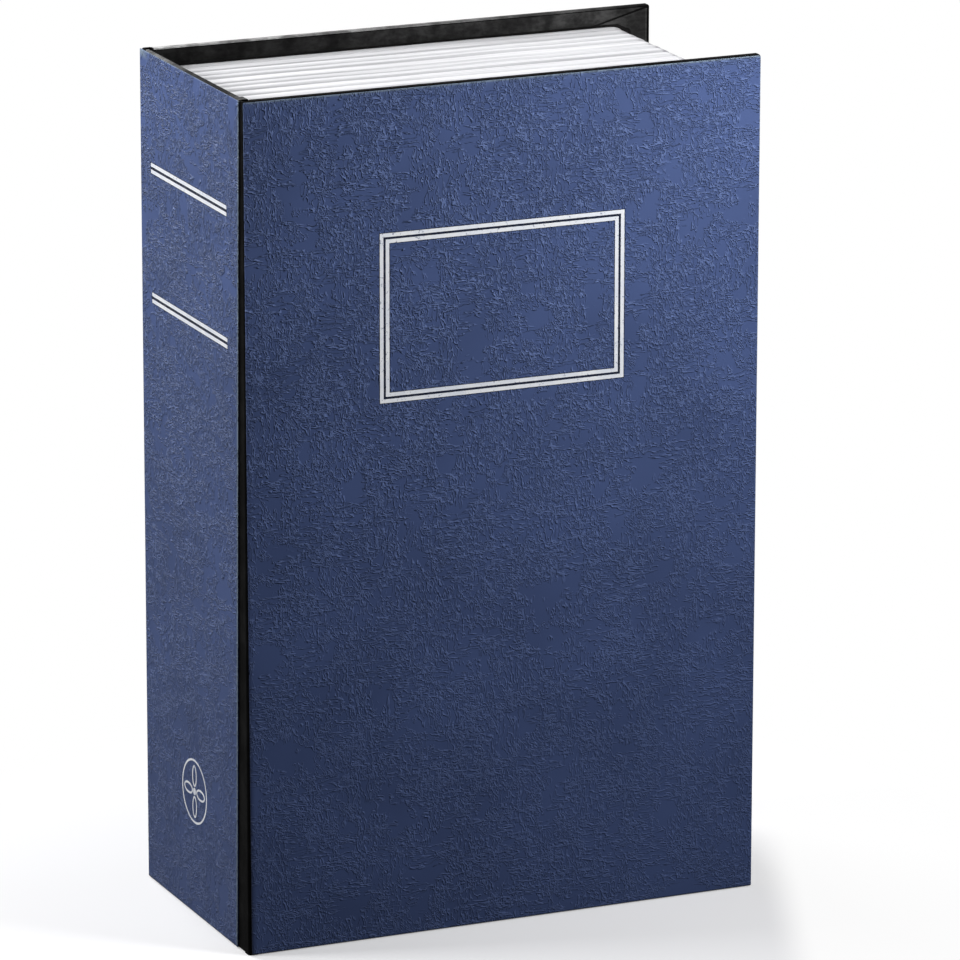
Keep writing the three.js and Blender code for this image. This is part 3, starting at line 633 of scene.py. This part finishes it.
def leather_panel(side, sizes):
    out = OUTWARD[side]
    low, high = node_box(f"{side}_panel")
    rim = sizes.leather_rim / MM
    dip = (sizes.pale_edge if side == "spine" else sizes.joint_shade) / MM
    low, high = low.copy(), high.copy()
    low.z += rim
    high.z -= rim
    along = 1 if side == "spine" else 0
    high[along] -= rim
    if side == "spine":
        low.x += FLOWER_STAND
    slant = {"front": sizes.front_slant, "spine": sizes.spine_slant, "back": 0}[side] / MM
    piece = block(f"{side}_leather", low, high)
    with shaping(piece):
        if slant:
            pick("VERT", lambda at, _: at[along] < low[along] + 0.1 and at.z < MIDDLE_Z)
            move(*(slant if axis == along else 0 for axis in range(3)))
        if side != "spine":
            pick("EDGE", lambda at, way: way.y > 0.99 and at.x > high.x - 1)
            bevel(COVER_CORNER, 8)
        foot = Vector((0, 0, low.z))
        foot[along] = low[along] + slant + dip
        across = Vector((0, 0, slant))
        across[along] = high.z - low.z
        pick("FACE", facing(out))
        bpy.ops.mesh.bisect(plane_co=place(*foot), plane_no=across.normalized())
        face = high if out.dot(Vector((1, 1, 1))) > 0 else low
        pick("EDGE", lambda at, way: abs((at - face).dot(out)) < 0.01 and not (
            low[along] + 0.1 < at[along] < high[along] - 0.1 and way.z > 0.9))
        bevel(sizes.leather_edge / MM, 4)
        slice_at(along, [high[along] - run for run in (EDGE_SHADING, CORNER_HIGHLIGHT)], facing(out))
        slice_at(2, [low.z + EDGE_SHADING, high.z - EDGE_SHADING, high.z - RIM_FADE], facing(out))
    if side != "back":
        press_in(side, piece, sizes)

    # Painted light and shade at the leather's edges: shade along the joint side, the tail and the
    # spine's back edge; highlight along the top rim and fore-edge and at the spine's back corner;
    # the spine's joint edge painted pale.
    def tone(at, way, middle):
        if (face - middle).dot(out) > sizes.foil_depth / MM / 2 and way.dot(out) > 0.99:
            return BED_TONE
        # At the joint edge: painted shade on the front and back, darker towards the tail; the spine
        # painted pale.
        at_edge = 2.0 if side == "spine" else between(at.z, 0, high.z, 0.35, 0.8)
        start = low[along] + slant * (high.z - at.z) / (high.z - low.z)
        edge_light_and_shade = between(at[along] - start, 0.2 * dip, 0.8 * dip, at_edge, 1.0)
        far, down, up = high[along] - at[along], high.z - at.z, at.z - low.z
        # Painted shade along the tail.
        edge_light_and_shade *= between(up, 0.1, EDGE_SHADING, 0.3, 1.0)
        # Painted shade along the spine's back edge, painted highlight along the fore-edge of the
        # front and back.
        edge_light_and_shade *= between(far, 0.1, EDGE_SHADING, 0.6 if side == "spine" else 1.2, 1.0)
        if side == "spine":
            # Painted highlight at the spine's back corner under the head.
            edge_light_and_shade += between(far, 1.0, CORNER_HIGHLIGHT, 1, 0) * between(down, 0.2, RIM_FADE, 1, 0)
        else:
            # Painted highlight along the top rim of the front and back.
            edge_light_and_shade *= between(down, EDGE_SHADING, RIM_FADE, 1.2, 1.0)
            edge_light_and_shade *= between(down, 0.1, EDGE_SHADING, 1.4, 1.0)
        return min(2.0, edge_light_and_shade)

    paint_tone(piece, tone)
    return piece


def frame_lines(sizes):
    """Where the two silver lines of the frame begin and end, counted inwards from its edge."""
    line, gap = sizes.foil_line / MM, sizes.foil_gap / MM
    return (0, line), (line + gap, 2 * line + gap)


def front_beds(sizes):
    """Where to cut the front for the bed of the frame, and which faces are that bed."""
    ends = (-BED_RIM, frame_lines(sizes)[1][1] + BED_RIM)

    def in_bed(x, z):
        inward = min(x - FRAME_X[0], FRAME_X[1] - x, z - FRAME_Z[0], FRAME_Z[1] - z)
        return ends[0] < inward < ends[1]

    across, up = ([low + e for e in ends] + [high - e for e in ends]
                  for low, high in (FRAME_X, FRAME_Z))
    return across, up, in_bed


def spine_beds(sizes):
    """Where to cut the spine for the beds of the rules, and which faces are those beds."""
    half = sizes.foil_line / MM / 2 + BED_RIM
    pairs = [(low - half, high + half) for high, low in (RULES_Z[:2], RULES_Z[2:])]
    across = (RULES_Y[0] - BED_RIM, RULES_Y[1] + BED_RIM)

    def in_bed(y, z):
        return across[0] < y < across[1] and any(low < z < high for low, high in pairs)

    return across, [z for pair in pairs for z in pair], in_bed


class BOOK_OT_leather(bpy.types.Operator):
    """Makes the three sheets of blue leatherette, pressed in where the silver lies."""
    bl_idname = "book.leather"
    bl_label = "Leatherette"

    def execute(self, context):
        sizes = context.scene.book_sizes
        for side, body in (("front", "front_cover"), ("back", "case"), ("spine", "case")):
            piece = leather_panel(side, sizes)
            smooth(piece)
            fit(piece, MATERIALS["leather"], body, [f"{side}_panel"])
        return {"FINISHED"}


def foil_frame(name, inset, sizes):
    """A thin silver rectangle with an open middle, lying in its pressed groove."""
    line, depth = sizes.foil_line / MM, sizes.foil_depth / MM
    low = (FRAME_X[0] + inset, depth * 0.4, FRAME_Z[0] + inset)
    high = (FRAME_X[1] - inset, depth, FRAME_Z[1] - inset)
    piece = block(name, low, high)
    with shaping(piece):
        pick("FACE", lambda at, way: abs(way.y) > 0.99)
        bpy.ops.mesh.inset(thickness=line * MM, use_even_offset=True)
        bpy.ops.mesh.bridge_edge_loops()
    return fit(piece, MATERIALS["foil"], "front_cover")


def foil_rule(name, z, sizes):
    half, depth = sizes.foil_line / MM / 2, sizes.foil_depth / MM
    piece = block(name, (depth * 0.4, RULES_Y[0], z - half), (depth, RULES_Y[1], z + half))
    with shaping(piece):
        pick("EDGE", lambda at, way: way.x > 0.99)
        bevel(half * 0.4, 2)
    return fit(piece, MATERIALS["foil"], "case")


def foil_loop(y, z, half_y, half_z, line):
    """Adds an oval silver line to the open mesh: its outer rim, drawn in by the line's width."""
    bpy.ops.mesh.select_all(action="DESELECT")
    bpy.ops.mesh.primitive_circle_add(vertices=40, radius=half_z * MM, location=place(0, y, z),
                                      rotation=(0, math.pi / 2, 0))
    resize(1, half_y / half_z, 1, (0, y, z))
    bpy.ops.mesh.extrude_edges_move()
    resize(1, 1 - line / half_y, 1 - line / half_z, (0, y, z))


def foil_flower(sizes):
    """A small flower of four petals in a ring, at the foot of the spine."""
    depth = sizes.foil_depth / MM
    bpy.ops.object.select_all(action="DESELECT")
    bpy.ops.mesh.primitive_circle_add(vertices=24, radius=0.8 * MM, fill_type="NGON",
                                      location=place(0, FLOWER_Y, FLOWER_Z),
                                      rotation=(0, math.pi / 2, 0))
    piece = settle("spine_flower")
    out, long, wide = FLOWER_PETAL
    with shaping(piece):
        foil_loop(FLOWER_Y, FLOWER_Z, FLOWER_RING, FLOWER_RING, FLOWER_LINE)
        for turn_y, turn_z in ((1, 0), (-1, 0), (0, 1), (0, -1)):
            half_y, half_z = (long, wide) if turn_y else (wide, long)
            foil_loop(FLOWER_Y + out * turn_y, FLOWER_Z + out * turn_z, half_y, half_z,
                      FLOWER_LINE)
        bpy.ops.mesh.select_all(action="SELECT")
        extrude(depth, 0, 0)
        bpy.ops.mesh.select_all(action="SELECT")
        bpy.ops.mesh.normals_make_consistent(inside=False)
    return fit(piece, MATERIALS["foil"], "case")


class BOOK_OT_foil(bpy.types.Operator):
    """Makes the silver lines on the front and the spine."""
    bl_idname = "book.foil"
    bl_label = "Silver Lines"

    def execute(self, context):
        sizes = context.scene.book_sizes
        for name, (start, _) in zip(("outer", "inner"), frame_lines(sizes)):
            foil_frame(f"front_frame_{name}", start, sizes)
        for count, z in enumerate(RULES_Z, 1):
            foil_rule(f"spine_rule_{count}", z, sizes)
        foil_flower(sizes)
        return {"FINISHED"}


# Cloth round the boards: its turned-in flaps, its thickness, how far it runs into the joint, and
# the painted shade and painted pale line along the back cover's fore-edge
TURN_IN = 14.0
WRAP_SHEET = 0.3
OVERLAP = 0.02
FORE_LINES = (0.75, 1.05)

# Slanted folds where the flaps meet at a corner: run and drop of the line, step and groove
CREASE_RUN = 14.0
CREASE_DROP = 3.73
CREASE_RISE = 0.08
CREASE_WIDTH = 0.42
CREASE_DEPTH = 0.07

# Head and tail of the spine, cut back from inside to a thin edge
SPINE_HEAD = 1.45
SPINE_STEP = 3.5
SPINE_SHEET = 0.35
SPINE_CORNER = 2.5

# Cloth joints, which reach past their CAD ends
JOINT_REACH = 0.35

# End paper of the back cover, which is higher as far as the clip and painted near black: a dark
# sheet that stands for the shade between the pages and the back cover
LINING_HEAD = 176.45
LINING_CLIP = 107.4


def crease_reach(x, edge):
    """How far below the head, or above the tail, a slanted fold lies at x."""
    return (edge - x) * CREASE_DROP / CREASE_RUN


def cut_creases(inner, low, high):
    """Cuts the two lines of each slanted fold, at head and tail, into the turned-in cloth."""
    for toward, z in ((-1, high.z), (1, low.z)):
        along = Vector((-CREASE_RUN, 0, toward * CREASE_DROP)).normalized()
        for offset in (0, CREASE_WIDTH):
            pick("FACE", facing(inner))
            bpy.ops.mesh.bisect(plane_co=place(high.x, 0, z + toward * offset),
                                plane_no=(along.z, 0, -along.x))


def cover_cloth(side, sizes):
    """The black cloth round a cover's board: outer face, rim, and flaps turned in."""
    low, high = node_box(f"{side}_wrap")
    low = low - Vector((OVERLAP, 0, 0))
    inner = -OUTWARD[side]
    piece = block(f"{side}_cloth", low, high)
    x1 = high.x - TURN_IN
    z0, z1 = low.z + TURN_IN, high.z - TURN_IN

    def past_fold(at):
        """How far a place lies on the fore-edge side of the nearer fold."""
        return min(high.z - at.z, at.z - low.z) - crease_reach(at.x, high.x)

    def in_crease(at, way):
        return way.dot(inner) > 0.99 and at.x > x1 and 0 < past_fold(at) < CREASE_WIDTH * 1.1

    with shaping(piece):
        pick("EDGE", lambda at, way: way.y > 0.99 and at.x > high.x - 1)
        bevel(COVER_CORNER * 2, 8)
        pick("EDGE", lambda at, way: way.y < 0.5 and at.x > low.x + 0.1)
        bevel(sizes.board_edge / MM, 4)
        tone_cuts = (x1 - 26, low.x + 30)
        slice_at(0, [x1, *tone_cuts, *(high.x - edge for edge in FORE_LINES)], facing(inner))
        slice_at(2, [z0, z1], facing(inner))
        cut_creases(inner, low, high)
        pick("FACE", lambda at, way: way.dot(inner) > 0.99 and at.x > x1
             and past_fold(at) > CREASE_WIDTH)
        extrude(*(inner * CREASE_RISE))
        pick("FACE", in_crease)
        extrude(*(-inner * CREASE_DEPTH))
        pick("FACE", lambda at, way: way.dot(inner) > 0.99 and at.x < x1 and z0 < at.z < z1)
        bpy.ops.mesh.delete(type="FACE")

    def tone(at, way, middle):
        if way.dot(inner) > 0.99:
            sunk = abs((middle - (low if inner.y < 0 else high)).y) > 0.05
            # Painted shade in the groove of the slanted fold.
            if in_crease(middle, way) and sunk:
                return level(18)
            if side == "front":
                return level(30)
            # Along the back cover's fore-edge: painted shade on the outer strip, and a painted pale
            # line inside it.
            if middle.x > high.x - FORE_LINES[1]:
                return level(3 if middle.x > high.x - FORE_LINES[0] else 72)
            # Lighter towards the fore-edge: painted sheen.
            return level(between(at.x, 30, 112, 27, 50))
        # Painted highlight on the back cover's head edge, fading out towards the fore-edge.
        if side == "back" and way.z > 0.3 and way.dot(inner) < 0.9:
            return level(between(at.x, 72, 108, 148, 12))
        return level(8)

    paint_tone(piece, tone)
    add_modifier(piece, "SOLIDIFY", thickness=WRAP_SHEET * MM, offset=-1, use_even_offset=False)
    smooth(piece)
    return piece


def thin_ends(piece, low, high, start, step):
    """Takes away the inner part of a spine piece at its head and its tail, above the pages."""
    ends = (("head", high.z - step, high.z + 1), ("tail", low.z - 1, low.z + step))
    for name, bottom, top in ends:
        cutter = block(f"{name}_cutter", (start, low.y + SPINE_CORNER, bottom),
                       (high.x + 1, high.y + 1, top))
        cut_away(piece, cutter)


def spine_cloth(sizes):
    """The black cloth round the spine's board, turned in at head and tail."""
    low, high = node_box("spine_wrap")
    low, high = low - Vector((0, OVERLAP, 0)), high + Vector((0, OVERLAP, 0))
    piece = block("spine_cloth", low, high)
    thin_ends(piece, low, high, SPINE_HEAD, SPINE_STEP)
    with shaping(piece):
        pick("EDGE", lambda at, way: way.y > 0.99 and abs(at.z - MIDDLE_Z) > MIDDLE_Z - 0.1)
        bevel(sizes.board_edge / MM, 4)
        slice_at(1, range(10, 55, 5), lambda at, way: way.z > 0.3)
        slice_at(2, [low.z + TURN_IN, high.z - TURN_IN], facing(-SPINE))
        pick("FACE", lambda at, way: way.x > 0.99 and low.z + TURN_IN < at.z < high.z - TURN_IN)
        bpy.ops.mesh.delete(type="FACE")

    def tone(at, way, middle):
        # Painted highlight along the spine's head edge, strongest towards the back and at the front
        # corner.
        if way.z > 0.3 and middle.z > high.z - 1:
            return level(between(at.y, 25, 55, 40, 110) + between(at.y, 3, 10, 60, 0))
        return level(10)

    paint_tone(piece, tone)
    add_modifier(piece, "SOLIDIFY", thickness=WRAP_SHEET * MM, offset=-1)
    smooth(piece)
    return piece


def spine_core():
    """The spine's board, cut back where the cloth round it is."""
    low, high = node_box("spine_board")
    piece = copy_of("spine_board", "spine_core")
    thin_ends(piece, low, high, SPINE_HEAD - SPINE_SHEET, SPINE_STEP)
    smooth(piece)
    return piece


class BOOK_OT_cloth(bpy.types.Operator):
    """Makes the black cloth round the boards of the covers and the spine, and the spine's board."""
    bl_idname = "book.cloth"
    bl_label = "Cover Cloth"

    def execute(self, context):
        sizes = context.scene.book_sizes
        for side, body in (("front", "front_cover"), ("back", "case")):
            fit(cover_cloth(side, sizes), MATERIALS["cloth"], body,
                [f"{side}_wrap"])
        fit(spine_cloth(sizes), MATERIALS["cloth"], "case", ["spine_wrap"])
        fit(spine_core(), MATERIALS["board"], "case", ["spine_board"])
        return {"FINISHED"}


class BOOK_OT_joints(bpy.types.Operator):
    """Makes the cloth joints at the two corners of the spine. The front one is on no body, with its
    place baked into its mesh.
    """
    bl_idname = "book.joints"
    bl_label = "Cloth Joints"

    def execute(self, context):
        for side in ("front", "back"):
            piece = copy_of(f"{side}_hinge_cloth", f"{side}_joint_cloth")
            with shaping(piece):
                for toward in (-1, 1):
                    pick("VERT", lambda at, _: (at.z - MIDDLE_Z) * toward > MIDDLE_Z - 1)
                    move(0, 0, JOINT_REACH * toward)
            smooth(piece, 50)
            paint_tone(piece, lambda at, way, middle: level(10))
            body = "case" if side == "back" else None
            fit(piece, MATERIALS["cloth"], body, [f"{side}_hinge_cloth"])
            if side == "front":
                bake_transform(piece)
        return {"FINISHED"}


class BOOK_OT_linings(bpy.types.Operator):
    """Makes the papers inside the covers. The back one, raised and painted near black, shows as a
    dark line over the pages: painted shade in the gap behind them.
    """
    bl_idname = "book.linings"
    bl_label = "End Papers"

    def execute(self, context):
        for side, body in (("front", "front_cover"), ("back", "case")):
            low, high = node_box(f"{side}_lining")
            piece = copy_of(f"{side}_lining", f"{side}_end_paper")
            if side == "back":
                with shaping(piece):
                    slice_at(0, [LINING_CLIP])
                    pick("VERT", lambda at, _: at.z > high.z - 1 and at.x < LINING_CLIP + 0.1)
                    move(0, 0, LINING_HEAD - high.z)
            smooth(piece)
            # Near black on the back one: painted shade.
            grey = 34 if side == "front" else 7
            paint_tone(piece, lambda at, way, middle: level(grey))
            fit(piece, MATERIALS["lining"], body, [f"{side}_lining"])
        return {"FINISHED"}


# Pages

# Grooves between the ridges: distance from the front face, and depth
GROOVES = (
    (6.6, 0.45), (10.4, 0.4), (14.4, 0.5), (18.6, 0.4), (22.9, 0.5), (27.6, 0.65),
    (31.6, 0.3), (34.9, 0.45), (39.8, 0.5), (43.3, 0.4), (47.25, 0.65), (51.75, 0.45),
)
GROOVE_SPREAD = 0.5
# Spread of the painted shade around each groove, darker where the groove is deeper
GREY_SPREAD = 1.1

# Places of the cuts on both sides of a groove
RING_STEPS = (-1.3, -0.8, -0.5, -0.25, 0, 0.25, 0.5, 0.8, 1.3)

# Rounding of the fore-edge corners and of the first and last ridge
CORNER_DROP = 1.5
CORNER_RUN = 3.2
END_ROUND = 0.3

# Grey rim of the block at its fore-edge near the head, painted as shade, from nothing to its full
# grey
OUTLINE = (2.6, 1.3)

# Clearance and corners of the lid's rebate and the box's cavity
REBATE_START = 6.4
REBATE_GAP = 0.6
REBATE_CORNER = 3.6
REBATE_FLOOR = 7.0
CAVITY_GAP = 0.3
CAVITY_CORNER = 2.3
LEAF_SEAT = 1.9


def page_inset(y, low, high, crown):
    """How far the block's outline is drawn in at a depth: grooves, and a soft crown between."""
    edges = [low] + [groove for groove, _ in GROOVES] + [high]
    inset = sum(depth * math.exp(-((y - groove) / GROOVE_SPREAD) ** 2 / 2)
                for groove, depth in GROOVES)
    for start, end in zip(edges, edges[1:]):
        if start <= y <= end:
            inset += crown * (1 - math.sin(math.pi * (y - start) / (end - start)))
    for edge in (low, high):
        inset += END_ROUND * math.exp(-abs(y - edge) / 0.3)
    return inset


class BOOK_OT_pages(bpy.types.Operator):
    """Makes the moulded block of pages, ridge by ridge, with its rebate and cavity."""
    bl_idname = "book.pages"
    bl_label = "Page Block"

    def execute(self, context):
        crown = context.scene.book_sizes.page_crown / MM
        low, high = node_box("page_block")
        rings = sorted({low.y, high.y, *(groove + step for groove, _ in GROOVES
                                         for step in RING_STEPS)})
        rings = [y for y in rings if low.y <= y <= high.y]
        first = page_inset(rings[0], low.y, high.y, crown)
        piece = block("moulded_pages", (low.x, low.y, low.z + first),
                      (high.x - first, rings[1], high.z - first))
        with shaping(piece):
            pick("EDGE", lambda at, way: way.y > 0.99 and at.x > 100)
            bevel(CORNER_DROP, 8)
            pick("VERT", lambda at, _: at.x > high.x - first - CORNER_DROP - 0.01)
            resize(CORNER_RUN / CORNER_DROP, 1, 1, (high.x - first, 0, 0))
            pick("FACE", lambda at, way: way.y > 0.99)
            inset = first
            pivot = (low.x, 0, MIDDLE_Z)
            for count, y in enumerate(rings[1:]):
                if count:
                    extrude(0, y - rings[count], 0)
                new = page_inset(y, low.y, high.y, crown)
                across, up = high.x - low.x, high.z - low.z
                resize((across - new) / (across - inset), 1, (up - 2 * new) / (up - 2 * inset),
                       pivot)
                inset = new
            slice_at(0, [low.x + 6 * step for step in range(1, 16)])
            slice_at(2, [low.z + 8 * step for step in range(1, 22)])
        drift = bpy.data.textures.new("page_drift", "CLOUDS")
        drift.noise_scale = 22 * MM
        add_modifier(piece, "DISPLACE", texture=drift, strength=0.25 * MM, mid_level=1.0,
                     texture_coords="LOCAL")
        box_low, box_high = node_box("safe_box")
        lid_low, lid_high = node_box("lid_plate")
        leaf_low, _ = node_box("hinge_leaf_box")
        rebate = block("rebate_cutter", (REBATE_START, low.y - 2, lid_low.z - REBATE_GAP),
                       (lid_high.x + REBATE_GAP, REBATE_FLOOR, lid_high.z + REBATE_GAP))
        cavity = block("cavity_cutter",
                       (leaf_low.x + LEAF_SEAT, REBATE_FLOOR - 2, box_low.z - CAVITY_GAP),
                       (box_high.x + CAVITY_GAP, high.y + 2, box_high.z + CAVITY_GAP))
        for cutter, corner in ((rebate, REBATE_CORNER), (cavity, CAVITY_CORNER)):
            with shaping(cutter):
                pick("EDGE", lambda at, way: way.y > 0.99 and (at.x > 50 or cutter is cavity))
                bevel(corner, 6)
            cut_away(piece, cutter)
        smooth(piece, 50)

        # Painted shade: grey in the grooves and on the fore-edge rim near the head.
        def grey(at, way, middle):
            edge = between(high.x - at.x, *OUTLINE, 0, 0.9) * between(high.z - at.z, 3, 5, 1, 0)
            return min(1, edge + sum(depth * math.exp(-((at.y - groove) / GREY_SPREAD) ** 2)
                                     for groove, depth in GROOVES) / 0.6)

        paint_tone(piece, grey)
        fit(piece, MATERIALS["pages"], "case", ["page_block"])
        return {"FINISHED"}


# Metal inside, and what keeps its CAD shape

METAL = {
    "safe_box": ("steel_box", "paint", "case", "box_paint"),
    "lid_plate": ("steel_lid", "paint", "lid", "box_paint"),
}


class BOOK_OT_metal(bpy.types.Operator):
    """Softens the edges of the steel box and its lid."""
    bl_idname = "book.metal"
    bl_label = "Steel Box"

    def execute(self, context):
        edge = context.scene.book_sizes.metal_edge
        for node, (name, material, body, slot) in METAL.items():
            piece = copy_of(node, name)
            add_modifier(piece, "BEVEL", width=edge, segments=2, limit_method="ANGLE",
                         angle_limit=math.radians(50), harden_normals=False)
            smooth(piece)
            fit(piece, MATERIALS[material], body, [node])
        return {"FINISHED"}


KEPT = {
    "greyboard": "board", "plated_steel": "steel", "lock_chrome": "chrome",
    "wafer_brass": "brass",
}


class BOOK_OT_kept(bpy.types.Operator):
    """Gives the CAD nodes that still show their finished materials."""
    bl_idname = "book.kept"
    bl_label = "Kept Pieces"

    def execute(self, context):
        slots = {part["node"]: part["material_slot"] for part in frame["record"]["subparts"]}
        for name, node in frame["nodes"].items():
            if not node.hide_render:
                node.data.materials.clear()
                node.data.materials.append(MATERIALS[KEPT[slots[name]]])
                only(node)
                bpy.ops.object.shade_smooth_by_angle(angle=math.radians(35))
        return {"FINISHED"}


# Studio


def area_light(name, at, aim, size, power):
    bpy.ops.object.light_add(type="AREA", location=at)
    lamp = bpy.context.object
    lamp.name = lamp.data.name = name
    lamp.rotation_mode = "QUATERNION"
    lamp.rotation_quaternion = (Vector(aim) - Vector(at)).to_track_quat("-Z", "Y")
    lamp.data.shape = "RECTANGLE"
    lamp.data.size, lamp.data.size_y = size
    lamp.data.energy = power
    lamp.visible_camera = False


def seen_rays(paint):
    """1 for what the camera, gloss or glass sees, and 0 for what lights the object."""
    path = paint.node("ShaderNodeLightPath", out="Is Camera Ray").socket.node
    seen = Field(paint, path.outputs["Is Camera Ray"])
    for ray in ("Is Glossy Ray", "Is Transmission Ray"):
        seen = paint.maths("MAXIMUM", seen, Field(paint, path.outputs[ray]))
    return seen


class BOOK_OT_stage(bpy.types.Operator):
    """Makes the floor, the lamps, the room and the camera."""
    bl_idname = "book.stage"
    bl_label = "Stage"

    def execute(self, context):
        studio = context.scene.book_studio
        self.floor(studio)
        self.room(context.scene, studio)
        self.lamps(studio)
        self.camera(context.scene, studio)
        return {"FINISHED"}

    def floor(self, studio):
        bpy.ops.object.select_all(action="DESELECT")
        bpy.ops.mesh.primitive_plane_add(size=30, location=(0, 0, 0))
        floor = settle("floor")
        paint = Paint("pale_floor")
        seen = seen_rays(paint)
        tone = paint.mix(seen, tuple(studio.bounce), tuple(studio.floor))
        diffuse = paint.node("ShaderNodeBsdfDiffuse", {}, {"Color": tone})
        white = paint.node("ShaderNodeEmission", {}, {"Color": (1, 1, 1), "Strength": 1.0})
        away = paint.vector("LENGTH", paint.coords, out="Value")
        beside = paint.vector("DOT_PRODUCT", paint.coords, (1, -0.4, 0), out="Value")
        share = seen * paint.maths("MAXIMUM", paint.step(away, 0.088, 0.125, 0.3, 1.0),
                                   paint.step(beside, 0.070, 0.081, 0.3, 0.9))
        paint.output(paint.node("ShaderNodeMixShader", {}, {0: share, 1: diffuse, 2: white}))
        floor.data.materials.append(paint.material)

    def room(self, scene, studio):
        scene.world = bpy.data.worlds.new("pale_room")
        paint = Paint("pale_room", scene.world)
        strength = seen_rays(paint) * (1 - studio.room) + studio.room
        paint.output(paint.node("ShaderNodeBackground", {}, {"Color": (1, 1, 1),
                                                             "Strength": strength}))

    def lamps(self, studio):
        area_light("key_light", (0.1, -0.16, 0.235), (0.04, -0.03, 0.13), (0.06, 0.06),
                   studio.key)
        area_light("side_light", (-0.26, 0.05, 0.26), (-0.05, 0, 0.2), (0.06, 0.06), studio.side)
        area_light("back_light", (-0.15, 0.45, 0.5), (0, 0, 0.12), (0.3, 0.3), studio.back)
        area_light("fill_light", (0.6, -0.18, 0.3), (0.05, 0, 0.09), (0.4, 0.4), studio.fill)

    def camera(self, scene, studio):
        bpy.ops.object.camera_add(location=studio.camera)
        camera = bpy.context.object
        camera.name = "photo_camera"
        yaw, pitch, roll = studio.yaw, studio.pitch, studio.roll
        ahead = Vector((math.sin(yaw) * math.cos(pitch), math.cos(yaw) * math.cos(pitch),
                        -math.sin(pitch)))
        right = Vector((math.cos(yaw), -math.sin(yaw), 0))
        down = ahead.cross(right)
        across = right * math.cos(roll) + down * math.sin(roll)
        under = down * math.cos(roll) - right * math.sin(roll)
        turn = Matrix((across, -under, -ahead)).transposed()
        camera.rotation_mode = "QUATERNION"
        camera.rotation_quaternion = turn.to_quaternion()
        camera.data.lens = studio.lens
        camera.data.sensor_width = 36
        camera.data.clip_start, camera.data.clip_end = 0.01, 100
        scene.camera = camera
        scene.view_settings.view_transform = "Standard"


class BOOK_PT_panel(bpy.types.Panel):
    """Lists the steps that build the book safe."""
    bl_idname = "BOOK_PT_panel"
    bl_label = "Book Safe"
    bl_space_type = "VIEW_3D"
    bl_region_type = "UI"
    bl_category = "Book Safe"

    def draw(self, context):
        scene = context.scene
        for settings in (scene.book_sizes, scene.book_colours, scene.book_studio):
            box = self.layout.box()
            for key in settings.bl_rna.properties.keys():
                if key not in ("rna_type", "name"):
                    box.prop(settings, key)
        for step in STEPS:
            self.layout.operator(step.bl_idname)


GROUPS = {"book_sizes": BookSizes, "book_colours": BookColours, "book_studio": BookStudio}
STEPS = (BOOK_OT_leather, BOOK_OT_foil, BOOK_OT_cloth, BOOK_OT_joints, BOOK_OT_linings,
         BOOK_OT_pages, BOOK_OT_metal, BOOK_OT_kept, BOOK_OT_stage)


def register():
    for group in (*GROUPS.values(), *STEPS, BOOK_PT_panel):
        bpy.utils.register_class(group)
    for name, group in GROUPS.items():
        setattr(bpy.types.Scene, name, PointerProperty(type=group))


def unregister():
    for name in GROUPS:
        delattr(bpy.types.Scene, name)
    for group in reversed((*GROUPS.values(), *STEPS, BOOK_PT_panel)):
        bpy.utils.unregister_class(group)


def main():
    register()
    make_materials(bpy.context.scene.book_colours)
    for step in STEPS:
        area, name = step.bl_idname.split(".")
        getattr(getattr(bpy.ops, area), name)()


if __name__ == "__main__":
    main()
